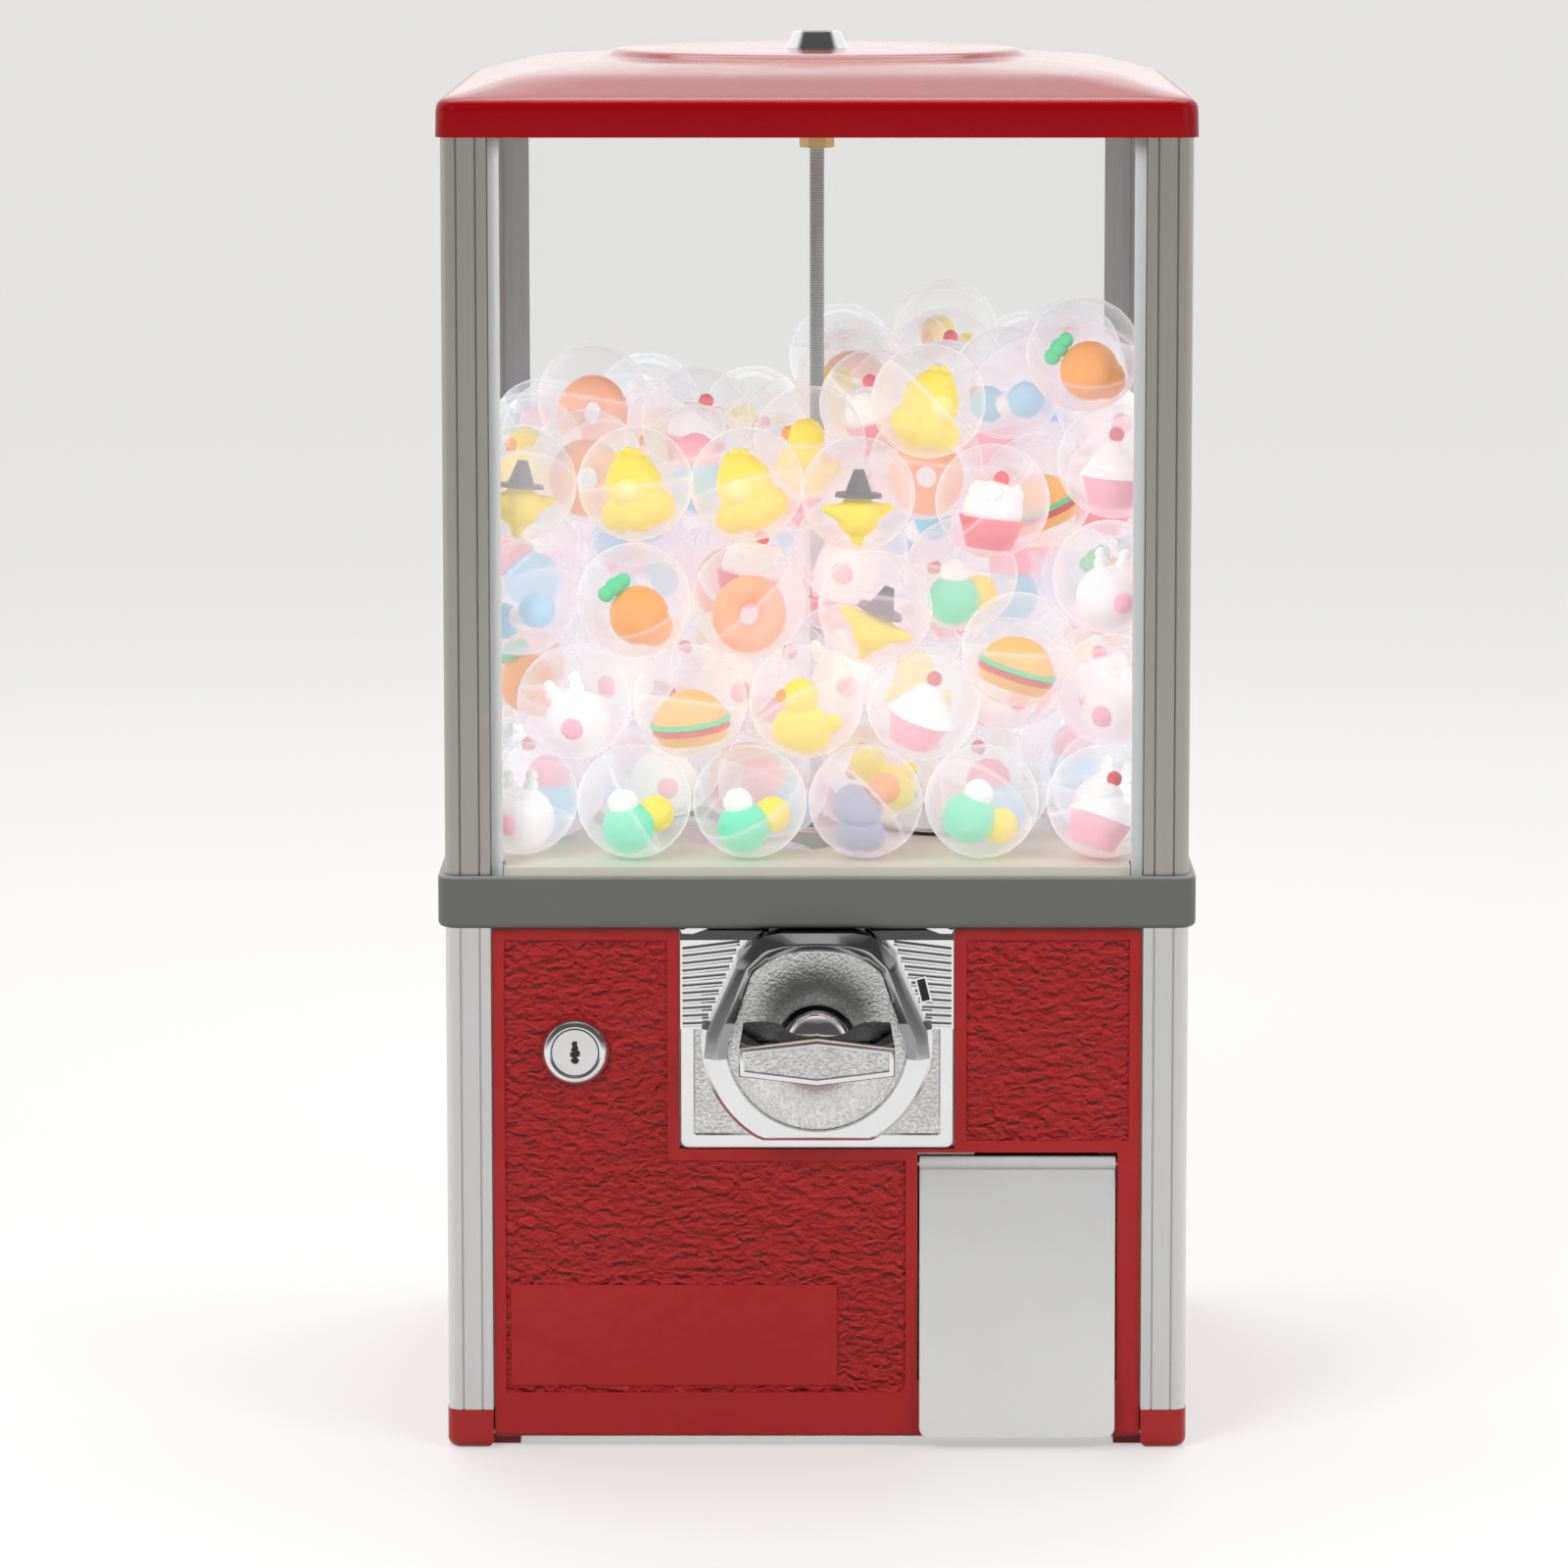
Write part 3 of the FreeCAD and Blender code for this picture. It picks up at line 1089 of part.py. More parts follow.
def toy_forms():
    """Forms of each toy about its middle, on a grid that divides a capsule's radius."""
    return {
        "blob": [ball(0, 0, 3, 12), ball(0, 0, 7, 10), ball(-9, -2, -8, 7.5), ball(9, -2, -8, 7.5),
                 ball(0, -4, -9, 8), ball(0, 6, -8, 9), ball(0, -7, 2, 6.5), ball(-3, 0, 16, 2.2),
                 ball(1, 0, 17, 2.2), ball(4.5, 0, 15.5, 2.2)],
        "capped_star": [ball(0, 0, -3, 9), cone(-3, 7, 1.2, 17, -78), cone(-3, 7, 1.2, 17, 78),
                        cone(-3, 7, 1.5, 13, 180), cone(-3, 8, 5, 9), cone(5, 10, 9.5, 1.8),
                        cone(6, 6, 2.2, 10.5)],
        "carrot": [ball(2, 0, -2, 12.5), ball(8, 0, -7, 8.5), ball(-8.5, 0, 10, 4), ball(-12, 0, 7, 3.6),
                   ball(-5, 0, 12.5, 3.4)],
        "burger": [cap(-0.6, 16, 12), cone(-2.4, 17.2, 16.6, 2), cone(-5.4, 16.4, 16.2, 3.2),
                   cone(-10, 14, 16, 4.8)],
        "sundae": [cone(-15, 9.5, 14, 13), ball(0, 0, 1, 12.6), ball(8, 0, 8, 5), ball(-4, -6.9, 8, 5),
                   ball(-4, 6.9, 8, 5), ball(2, -1, 14.5, 3.4)],
        "mint_pair": [ball(-5, -2, -4, 11), ball(9, 1, -4, 8), ball(-4, -3, 7, 6.4)],
        "rabbit": [ball(0, 0, -4, 13.8), ball(-5.2, 0, 10, 3.4), ball(-5.8, 0, 14.2, 2.8),
                   ball(5.2, 0, 10, 3.4), ball(5.8, 0, 14.2, 2.8), ball(0, -11, -5, 5.2)],
        "duck": [ball(2, 0, -6, 10.5), ball(-4, 0, -7, 9), ball(-3.5, -2, 7, 8.2), ball(-10.5, -5, 6, 3.2),
                 ball(12, 1, -1, 4)],
        "stones": [ball(-4, -3, 3, 9), ball(1, -3, 1, 8), ball(-5, -2, -9, 8), ball(2, -2, -9.5, 7.5),
                   ball(8, 2, 10, 7)],
        "cupcake": [cone(-16, 9.5, 13.5, 13), cap(-3.4, 14.5, 8), cap(1.6, 11, 7), cap(6, 7, 6),
                    ball(0, 0, 14, 3.4)],
        "two_tone": [ball(2, -1, -5, 12), ball(-3, 0, 7, 9.4)],
        "doughnut": [Part.makeTorus(10.5, 6, V(0, 0, 0), V(0, 1, 0))],
        "bow": [ball(-9, 0, 1, 8), ball(9, 0, 1, 8), ball(0, -1, 0, 5)],
    }


def toy_solids():
    solids = {}
    for name, forms in toy_forms().items():
        solid = fused(*forms) if len(forms) > 1 else forms[0]
        solid.scale(capsule_radius / TOY_GRID)
        solids[name] = solid
    return solids


def chosen_toys(centres):
    """Name of the toy in each capsule: the listed ones nearest the front, the others in turn."""
    names = [OTHER_TOYS[k % len(OTHER_TOYS)] for k in range(len(centres))]
    free = set(range(len(centres)))
    for name, x, z in FRONT_TOYS[:len(centres)]:
        def miss(k):
            return math.hypot(centres[k].x - x, centres[k].z - z) + FRONT_PULL * centres[k].y
        best = min(free, key=miss)
        names[best] = name
        free.discard(best)
    return names


def toy_turn(centre):
    """Turn of a toy: it faces the front, with a lean and a spin that vary from place to place."""
    lean = TOY_LEAN * math.sin(0.11 * centre.x + 0.05 * centre.z)
    spin = TOY_SPIN * math.sin(0.07 * centre.z - 0.09 * centre.x)
    return FreeCAD.Rotation(V(0, 0, 1), spin).multiply(FreeCAD.Rotation(V(0, 1, 0), lean))


def toy_drop(points, axis):
    """How far a toy's points sink in a capsule before they rest on its wall or on its neck."""
    inner = capsule_radius - CAPSULE_WALL - TOY_GAP
    bore = neck_bore - TOY_GAP

    def clears_neck(p):
        along = p.dot(axis)
        if along < -CAPSULE_NECK_BELOW - TOY_NECK_GAP or along > CAPSULE_NECK + TOY_NECK_GAP:
            return True
        return p.dot(p) - along * along < bore * bore
    drop = min(p.z + math.sqrt(max(0.0, inner * inner - p.x * p.x - p.y * p.y)) for p in points)
    while drop > 0 and not all(clears_neck(p - V(0, 0, drop)) for p in points):
        drop -= TOY_GAP
    return drop


def capsule_toys(places):
    solids = toy_solids()
    points = {name: solid.tessellate(TOY_GAP / 2)[0] for name, solid in solids.items()}
    toys = []
    for (centre, turn), name in zip(places, chosen_toys([c for c, _ in places])):
        own = toy_turn(centre)
        drop = toy_drop([own.multVec(p) for p in points[name]], turn.multVec(V(0, 0, 1)))
        toys.append(placed(solids[name], centre - V(0, 0, drop), own))
    return Part.makeCompound(toys)


def capsule_pile():
    """Cups, domes and toys of the capsules in the bin."""
    chance = random.Random(7)
    places = [(centre, random_turn(chance)) for centre in settled_pile(chance)]
    cup, dome = capsule_cup(), capsule_dome()
    return {"capsule_cups": Part.makeCompound([placed(cup, c, t) for c, t in places]),
            "capsule_domes": Part.makeCompound([placed(dome, c, t) for c, t in places]),
            "capsule_toys": capsule_toys(places)}


def pocket_capsules():
    """Capsules that the wheel has taken; the pocket over the outlet is empty."""
    chance = random.Random(3)
    halves = []
    for angle in pocket_places()[1:]:
        centre = on_circle(pocket_circle, angle, floor_top + SMALL_GAP + capsule_radius)
        turn = random_turn(chance)
        halves += [placed(capsule_cup(), centre, turn), placed(capsule_dome(), centre, turn)]
    return Part.makeCompound(halves)


def all_parts():
    corners = ("front_left", "front_right", "rear_right", "rear_left")
    sides = ("front", "right", "rear", "left")
    parts = {}
    lower, upper, cap, clear = post(FOOT_HEIGHT, flange_bottom), post(flange_top, post_top), foot(), pane()
    pins = [hinge_pin(-1), hinge_pin(1)]
    for k, corner in enumerate(corners):
        parts["lower_post_" + corner] = turned(lower, k)
        parts["upper_post_" + corner] = turned(upper, k)
        parts["foot_" + corner] = turned(cap, k)
        if k < 2:
            pin = pins[k].BoundBox
            hole = rod_x(HINGE_PIN_RADIUS + PRESS_FIT, pin.XMin, pin.XMax, hinge_y, hinge_z)
            parts["foot_" + corner] = parts["foot_" + corner].cut(hole)
    for k, side in enumerate(sides):
        parts["pane_" + side] = turned(clear, k)
        if k:
            parts["panel_" + side] = turned(sheet_panel(), k)
    parts.update(capsule_pile())
    parts.update({
        "foot_screws": Part.makeCompound(four_corners(foot_screw())),
        "post_studs": Part.makeCompound(four_corners(post_stud())),
        "base_plate": base_plate(), "front_panel": front_panel(), "collar": collar(),
        "panel_hinge_pins": Part.makeCompound(pins),
        "flap_door": flap_door(), "flap_pin": flap_pin(),
        "lock_body": lock_body(), "lock_nut": lock_nut(), "lock_plug": lock_plug(), "lock_cam": lock_cam(),
        "lid": lid(), "lid_lock_bezel": lid_lock_bezel(), "lid_lock_nut": lid_lock_nut(),
        "lid_lock_barrel": lid_lock_barrel(), "centre_rod": centre_rod(), "rod_fasteners": rod_fasteners(),
        "hopper_tray": hopper_tray(), "outlet_guard": outlet_guard(), "guard_screws": guard_screws(),
        "dispensing_wheel": dispensing_wheel(), "wheel_bush": wheel_bush(),
        "delivery_chute": delivery_chute(), "cash_box": cash_box(),
        "mech_bracket": mech_bracket(), "mech_faceplate": mech_faceplate(), "mech_body": mech_body(),
        "mech_fasteners": Part.makeCompound(mech_nuts() + mech_body_screws()),
        "turn_handle": turn_handle(), "coin_carrier": coin_carrier(), "drive_shaft": drive_shaft(),
        "ratchet_wheel": ratchet_wheel(), "ratchet_pawl": ratchet_pawl(), "pawl_pin": pawl_pin(),
        "drive_pinion": drive_pinion(), "pinion_screw": pinion_screw(),
        "pocket_capsules": pocket_capsules(),
    })
    return parts


os.makedirs("parts", exist_ok=True)
for name, shape in all_parts().items():
    shape.translate(V(0, middle_shift, 0))
    shape.exportStep("parts/" + name + ".step")
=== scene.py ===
"""Looks of a counter-top vending machine for toy capsules.

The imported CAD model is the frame: metres, +Z up, the front towards -Y.
"""
import bmesh
import bpy
import json
import math
import random
import numpy as np
from mathutils import Matrix, Vector

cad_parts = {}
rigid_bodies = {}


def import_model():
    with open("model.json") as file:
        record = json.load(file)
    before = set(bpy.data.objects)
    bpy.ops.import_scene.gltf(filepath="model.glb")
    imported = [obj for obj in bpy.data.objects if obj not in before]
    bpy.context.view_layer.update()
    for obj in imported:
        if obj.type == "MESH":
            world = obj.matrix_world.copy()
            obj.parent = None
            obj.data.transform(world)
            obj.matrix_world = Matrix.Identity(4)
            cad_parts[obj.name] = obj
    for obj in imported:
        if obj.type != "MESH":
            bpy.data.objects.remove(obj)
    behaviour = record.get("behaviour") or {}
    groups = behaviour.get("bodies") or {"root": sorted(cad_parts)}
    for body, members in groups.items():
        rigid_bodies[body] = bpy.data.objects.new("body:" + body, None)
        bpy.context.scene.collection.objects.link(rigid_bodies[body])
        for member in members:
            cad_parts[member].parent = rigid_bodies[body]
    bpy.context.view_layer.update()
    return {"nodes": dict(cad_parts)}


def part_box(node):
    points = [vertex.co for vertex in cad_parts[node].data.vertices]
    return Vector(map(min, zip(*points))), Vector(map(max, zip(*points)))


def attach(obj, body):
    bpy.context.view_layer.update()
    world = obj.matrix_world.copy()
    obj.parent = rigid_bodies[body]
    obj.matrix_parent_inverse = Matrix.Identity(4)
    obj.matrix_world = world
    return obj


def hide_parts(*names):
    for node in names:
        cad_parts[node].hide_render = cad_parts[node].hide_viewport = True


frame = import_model()
nodes = frame["nodes"]
MM = 0.001
MERGE = 0.0001 * MM


# Colours, nodes and meshes

def screen(red, green, blue):
    """Linear colour of a screen colour given from 0 to 255."""
    def linear(c):
        c /= 255
        return c / 12.92 if c <= 0.04045 else ((c + 0.055) / 1.055) ** 2.4
    return (linear(red), linear(green), linear(blue), 1.0)


def feed(tree, node, inputs):
    """Sets sockets of a node; each value is a constant or the socket that feeds it."""
    for socket, value in inputs.items():
        if isinstance(value, bpy.types.NodeSocket):
            tree.links.new(value, node.inputs[socket])
        else:
            node.inputs[socket].default_value = value


def add(tree, kind, inputs=None, **settings):
    """New node with its own settings, and its sockets fed."""
    made = tree.nodes.new(kind)
    for name, value in settings.items():
        setattr(made, name, value)
    feed(tree, made, inputs or {})
    return made


def math_node(tree, operation, *values, clamp=False):
    made = add(tree, "ShaderNodeMath", dict(enumerate(values)), operation=operation, use_clamp=clamp)
    return made.outputs[0]


def mixed(tree, share, first, second):
    made = add(tree, "ShaderNodeMix", {0: share, 6: first, 7: second}, data_type="RGBA")
    return made.outputs[2]


def ranged(tree, value, low, high, to_low=0.0, to_high=1.0):
    made = add(tree, "ShaderNodeMapRange", {"Value": value, "From Min": low, "From Max": high,
                                            "To Min": to_low, "To Max": to_high})
    return made.outputs[0]


def grain(tree, scale, detail=2.0, roughness=0.5, distortion=0.0, offset=(0, 0, 0)):
    """Noise on Object coordinates; scale is in repeats a metre, for all axes or for each."""
    place = add(tree, "ShaderNodeTexCoord").outputs["Object"]
    each = scale if isinstance(scale, tuple) else (scale, scale, scale)
    turned = add(tree, "ShaderNodeMapping", {"Vector": place, "Scale": each, "Location": offset})
    noise = add(tree, "ShaderNodeTexNoise", {
        "Vector": turned.outputs[0], "Scale": 1.0, "Detail": detail,
        "Roughness": roughness, "Distortion": distortion})
    return noise.outputs["Fac"]


def evened(tree, noise, low=0.0, high=1.0):
    """Noise lies mostly from 0.3 to 0.7; this brings it to a range of its own."""
    return ranged(tree, noise, 0.3, 0.7, low, high)


def start_material(name):
    made = bpy.data.materials.new(name)
    made.use_nodes = True
    return made, made.node_tree, made.node_tree.nodes["Principled BSDF"]


def bump(tree, shader, height, distance):
    made = add(tree, "ShaderNodeBump", {"Height": height, "Distance": distance, "Strength": 1.0})
    feed(tree, shader, {"Normal": made.outputs[0]})


def placed(name, data):
    """New object in the scene."""
    made = bpy.data.objects.new(name, data)
    bpy.context.scene.collection.objects.link(made)
    return made


def smooth(mesh, sharp):
    """Smooth shading, with sharp edges where the surface turns by more than an angle in degrees."""
    mesh.polygons.foreach_set("use_smooth", [True] * len(mesh.polygons))
    mesh.set_sharp_from_angle(angle=math.radians(sharp))


def finish_mesh(name, bm, materials, body, sharp=35.0):
    """Piece from a bmesh, with its faces turned outwards, riding on its body."""
    bmesh.ops.remove_doubles(bm, verts=bm.verts, dist=MERGE)
    bmesh.ops.recalc_face_normals(bm, faces=bm.faces)
    mesh = bpy.data.meshes.new(name)
    bm.to_mesh(mesh)
    bm.free()
    for material in materials:
        mesh.materials.append(material)
    smooth(mesh, sharp)
    piece = placed(name, mesh)
    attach(piece, body)
    return piece


# Finishes

# Depths of the bump in each finish
PEEL_DEPTH = 0.03 * MM
HAMMER_DEPTH = 1.8 * MM
BRUSH_DEPTH = 0.02 * MM
MOULD_DEPTH = 0.04 * MM
THREAD_DEPTH = 0.15 * MM
CAST_DEPTH = 0.2 * MM
SAND_DEPTH = 0.11 * MM

# Start and end of a field that takes in all of a panel
EVERYWHERE = (-9.0, -8.0)


def object_axes(tree):
    place = add(tree, "ShaderNodeTexCoord").outputs["Object"]
    return add(tree, "ShaderNodeSeparateXYZ", {0: place}).outputs


def enamel(name, low, high, roughness, coat, gloss_above=None):
    """Enamel with a faint orange peel; its clear coat may start at a given height."""
    made, tree, shader = start_material(name)
    feed(tree, shader, {
        "Base Color": mixed(tree, grain(tree, 9, 3), low, high),
        "Roughness": evened(tree, grain(tree, 60, 4), roughness - 0.04, roughness + 0.05),
        "Specular IOR Level": 0.22, "Coat Weight": coat, "Coat Roughness": 0.1})
    if gloss_above:
        height = object_axes(tree)["Z"]
        coated = ranged(tree, height, gloss_above, gloss_above + 1.5 * MM, 0.0, coat)
        feed(tree, shader, {"Coat Weight": coated})
    bump(tree, shader, grain(tree, 420, 1), PEEL_DEPTH)
    return made


def hammered_enamel(name, field_from, field_to):
    """Red enamel with short wavy ridges where the surface lies behind the raised border; the upper side
    of each ridge carries a painted highlight and the lower side painted shade.
    """
    made, tree, shader = start_material(name)
    field = ranged(tree, object_axes(tree)["Y"], field_from, field_to)

    def ripple(higher):
        across, up = 156, 316
        return evened(tree, grain(tree, (across, across, up), 2.5, 0.5, 0.8, (0, 0, up * higher)))
    height = ripple(0.0)
    # The ridges' slope decides the painted light: positive on their upper sides, negative on their
    # lower sides.
    slope = math_node(tree, "SUBTRACT", height, ripple(0.9 * MM))
    facing = math_node(tree, "MULTIPLY", ranged(tree, slope, -0.45, 0.45, -1.0, 1.0), field)
    plain = mixed(tree, grain(tree, 14, 3), screen(160, 13, 16), screen(172, 29, 28))
    # Painted highlight colour on the ridges' upper sides, then painted shade colour on their lower
    # sides.
    painted_light = mixed(tree, math_node(tree, "MULTIPLY", facing, 0.75, clamp=True), plain, screen(190, 58, 58))
    shade = math_node(tree, "MULTIPLY", facing, -0.85, clamp=True)
    feed(tree, shader, {
        "Base Color": mixed(tree, shade, painted_light, screen(78, 0, 6)),
        "Roughness": ranged(tree, height, 0.2, 0.8, 0.34, 0.46),
        "Specular IOR Level": 0.35, "Coat Weight": 0.12, "Coat Roughness": 0.15})
    bump(tree, shader, math_node(tree, "MULTIPLY", height, field), HAMMER_DEPTH)
    return made


def brushed(name, dark, light, roughness, scale=(1800, 1800, 5), seal_reach=None):
    """Bare metal with fine lines; a pale seal lies on its front, within a reach of the middle."""
    made, tree, shader = start_material(name)
    lines = grain(tree, scale, 3, 0.6)
    tone = mixed(tree, lines, dark, light)
    metal = 1.0
    if seal_reach:
        axes = object_axes(tree)
        inside = math_node(tree, "LESS_THAN", math_node(tree, "ABSOLUTE", axes["X"]), seal_reach)
        front = math_node(tree, "LESS_THAN", axes["Y"], 0.0)
        seal = math_node(tree, "MULTIPLY", inside, front)
        tone = mixed(tree, seal, tone, screen(236, 236, 236))
        metal = math_node(tree, "SUBTRACT", 1.0, seal)
    worn = evened(tree, lines, roughness - 0.06, roughness + 0.08)
    feed(tree, shader, {"Base Color": tone, "Metallic": metal, "Roughness": worn})
    bump(tree, shader, lines, BRUSH_DEPTH)
    return made


def bright_metal(name, colour, roughness, sand=0.0, size=1100):
    """Plated casting: polished, or with a sand-cast grain of the given depth."""
    made, tree, shader = start_material(name)
    tone = tuple((0.66 if sand else 0.86) * c for c in colour[:3]) + (1.0,)
    cloud = grain(tree, 70, 4)
    pits = ranged(tree, grain(tree, size, 2, 0.6), 0.32, 0.68)
    worn = evened(tree, cloud, roughness * 0.8, roughness * 1.25)
    feed(tree, shader, {"Base Color": mixed(tree, pits if sand else cloud, tone, colour),
                        "Metallic": 1.0, "Roughness": worn})
    if sand:
        bump(tree, shader, pits, sand)
    return made


def moulded(name, colour, roughness, low_z=0.0, high_z=0.0, painted_top_colour=None):
    """Moulded plastic or a satin coat, in one colour or fading upwards into a painted top colour, which
    is painted light along the top of a part.
    """
    made, tree, shader = start_material(name)
    if painted_top_colour:
        colour = mixed(tree, ranged(tree, object_axes(tree)["Z"], low_z, high_z), colour, painted_top_colour)
    cloud = grain(tree, 11, 4)
    level = evened(tree, cloud, 0.93, 1.0)
    tone = add(tree, "ShaderNodeHueSaturation", {"Value": level, "Color": colour})
    worn = evened(tree, cloud, roughness - 0.05, roughness + 0.06)
    feed(tree, shader, {"Base Color": tone.outputs[0], "Roughness": worn, "Specular IOR Level": 0.3})
    bump(tree, shader, grain(tree, 900, 2), MOULD_DEPTH)
    return made


def threaded(name):
    """Zinc-plated rod with the fine lines of its thread."""
    made, tree, shader = start_material(name)
    place = add(tree, "ShaderNodeTexCoord").outputs["Object"]
    thread = add(tree, "ShaderNodeTexWave", {"Vector": place, "Scale": 290.0, "Distortion": 0.0},
                 bands_direction="Z").outputs["Fac"]
    tone = mixed(tree, thread, screen(158, 168, 170), screen(200, 210, 212))
    feed(tree, shader, {"Base Color": tone, "Metallic": 0.35, "Roughness": 0.4})
    bump(tree, shader, thread, THREAD_DEPTH)
    return made


def clear_sheet(name, tint, haze, haze_edge, gloss, milk_colour, glow=0.0, blush=None):
    """Thin clear plastic, shiny at a glancing angle, with a milky share that grows at its edge.

    The glow stands for light that the milky share passes on from one capsule to the next.
    """
    made, tree, shader = start_material(name)
    tree.nodes.remove(shader)
    facing = add(tree, "ShaderNodeLayerWeight", {"Blend": 0.5}).outputs["Facing"]
    edge = math_node(tree, "POWER", facing, 3.0)
    through = add(tree, "ShaderNodeBsdfTransparent", {"Color": tint}).outputs[0]
    shine = add(tree, "ShaderNodeBsdfGlossy", {"Roughness": 0.05}).outputs[0]
    shiny = math_node(tree, "MULTIPLY_ADD", edge, gloss * 4, gloss, clamp=True)
    skin = add(tree, "ShaderNodeMixShader", {0: shiny, 1: through, 2: shine}).outputs[0]
    if blush:
        share = add(tree, "ShaderNodeAttribute", attribute_name="blush").outputs["Fac"]
        milk_colour = mixed(tree, share, milk_colour, blush)
    front = add(tree, "ShaderNodeBsdfDiffuse", {"Color": milk_colour}).outputs[0]
    behind = add(tree, "ShaderNodeBsdfTranslucent", {"Color": milk_colour}).outputs[0]
    milk = add(tree, "ShaderNodeMixShader", {0: 0.5, 1: front, 2: behind}).outputs[0]
    if glow:
        painted_light = add(tree, "ShaderNodeEmission", {"Color": milk_colour, "Strength": glow}).outputs[0]
        milk = add(tree, "ShaderNodeAddShader", {0: milk, 1: painted_light}).outputs[0]
    milky = math_node(tree, "MULTIPLY_ADD", edge, haze_edge, haze, clamp=True)
    both = add(tree, "ShaderNodeMixShader", {0: milky, 1: skin, 2: milk}).outputs[0]
    feed(tree, tree.nodes["Material Output"], {"Surface": both})
    return made


def toy_paint(name):
    """Soft plastic in the colour that each toy carries, with a painted glow in the same colour."""
    made, tree, shader = start_material(name)
    colour = add(tree, "ShaderNodeAttribute", attribute_name="toy_colour").outputs["Color"]
    shade = grain(tree, 160, 2)
    pale = math_node(tree, "MULTIPLY", shade, 0.12)
    # The emission is a painted glow in the toy's own colour, not a lamp.
    feed(tree, shader, {
        "Base Color": mixed(tree, pale, colour, screen(255, 255, 255)),
        "Roughness": evened(tree, shade, 0.3, 0.42),
        "Emission Color": colour, "Emission Strength": 0.16})
    return made


door_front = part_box("front_panel")[0].y
lid_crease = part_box("lid")[0].z + 15.0 * MM
flap_low, flap_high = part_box("flap_door")
collar_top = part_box("collar")[1].z
seal_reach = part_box("upper_post_front_right")[1].x - 19.4 * MM
lid_red = enamel("lid_enamel", screen(136, 0, 6), screen(150, 1, 11), 0.28, 0.74, lid_crease)
foot_red = enamel("foot_enamel", screen(158, 22, 22), screen(176, 32, 31), 0.3, 0.3)
side_red = hammered_enamel("side_enamel", *EVERYWHERE)
door_red = hammered_enamel("door_enamel", door_front + 0.45 * MM, door_front + 0.7 * MM)
silver = brushed("lower_post_aluminium", (0.63, 0.63, 0.62, 1), (0.76, 0.76, 0.75, 1), 0.4)
# Darker, warmer copy of the posts' silver for the upper front posts: painted shade for the darker
# surroundings they reflect.
shaded_upper_silver = brushed("upper_post_aluminium", (0.39, 0.375, 0.35, 1), (0.51, 0.49, 0.46, 1), 0.38,
                      seal_reach=seal_reach)
# The collar grows lighter in its top 1.5 mm: a painted highlight on its top bevel.
collar_grey = moulded("collar_coat", screen(105, 106, 103), 0.42, collar_top - 1.5 * MM, collar_top,
                      screen(150, 150, 147))
# The flap grows darker towards its top: painted shade where the panel's border overhangs it.
flap_grey = moulded("flap_plastic", screen(231, 231, 229), 0.4, flap_low.z + 10 * MM, flap_high.z,
                    screen(201, 201, 199))
tray_beige = moulded("tray_plastic", screen(224, 222, 208), 0.5)
wheel_white = moulded("wheel_plastic", screen(222, 220, 214), 0.45)
box_black = moulded("cash_box_plastic", screen(44, 44, 46), 0.5)
chrome = bright_metal("polished_chrome", (0.80, 0.80, 0.81, 1), 0.09)
# Darker copy of the polished chrome for the hood: painted shade for the dark surroundings it reflects.
hood_chrome = bright_metal("hood_chrome", (0.44, 0.44, 0.45, 1), 0.1)
satin_chrome = bright_metal("satin_chrome", (0.74, 0.74, 0.74, 1), 0.24)
sand_chrome = bright_metal("sand_cast_chrome", (0.82, 0.82, 0.81, 1), 0.32, SAND_DEPTH, 760)
zinc = brushed("zinc_plate", (0.42, 0.42, 0.43, 1), (0.6, 0.6, 0.61, 1), 0.36, 300)
cast_zinc = bright_metal("cast_zinc", (0.5, 0.5, 0.51, 1), 0.4, CAST_DEPTH)
brass = brushed("turned_brass", (0.55, 0.36, 0.13, 1), (0.72, 0.52, 0.24, 1), 0.3, (40, 40, 900))
rod_thread = threaded("rod_thread")
cool_silver = brushed("rear_post_aluminium", screen(160, 163, 163), screen(194, 197, 197), 0.42)
pane_clear = clear_sheet("clear_pane", (0.998, 1.0, 1.0, 1), 0.0, 0.02, 0.01, (0.9, 0.9, 0.9, 1))
dome_clear = clear_sheet("capsule_dome_plastic", (0.99, 0.995, 1.0, 1), 0.1, 0.5, 0.035,
                         (0.91, 0.965, 1.0, 1), 0.22)
cup_clear = clear_sheet("capsule_cup_plastic", (0.99, 0.995, 1.0, 1), 0.3, 0.5, 0.03,
                        (0.92, 0.965, 1.0, 1), 0.22, screen(250, 238, 246))
toy_colours = toy_paint("toy_plastic")

FINISHES = {
    lid_red: ("lid",),
    foot_red: ("foot_",),
    door_red: ("front_panel",),
    side_red: ("panel_right", "panel_rear", "panel_left"),
    silver: ("lower_post_", "outlet_guard"),
    shaded_upper_silver: ("upper_post_",),
    cool_silver: ("upper_post_rear_",),
    collar_grey: ("collar",),
    flap_grey: ("flap_door",),
    tray_beige: ("hopper_tray", "delivery_chute"),
    wheel_white: ("dispensing_wheel", "drive_pinion"),
    box_black: ("cash_box",),
    chrome: ("lock_body", "lid_lock_bezel", "turn_handle", "mech_faceplate"),
    satin_chrome: ("lock_plug",),
    cast_zinc: ("mech_body", "coin_carrier"),
    brass: ("lid_lock_barrel", "wheel_bush"),
    rod_thread: ("centre_rod",),
    pane_clear: ("pane_",),
    dome_clear: ("capsule_domes", "pocket_capsules"),
    cup_clear: ("capsule_cups",),
}


def finish_for(node):
    """Finish whose entry is the longest match for the node's name; plain hardware is zinc plated."""
    best, best_length = zinc, 0
    for material, starts in FINISHES.items():
        for start in starts:
            if node == start or (start.endswith("_") and node.startswith(start)):
                if len(start) > best_length:
                    best, best_length = material, len(start)
    return best


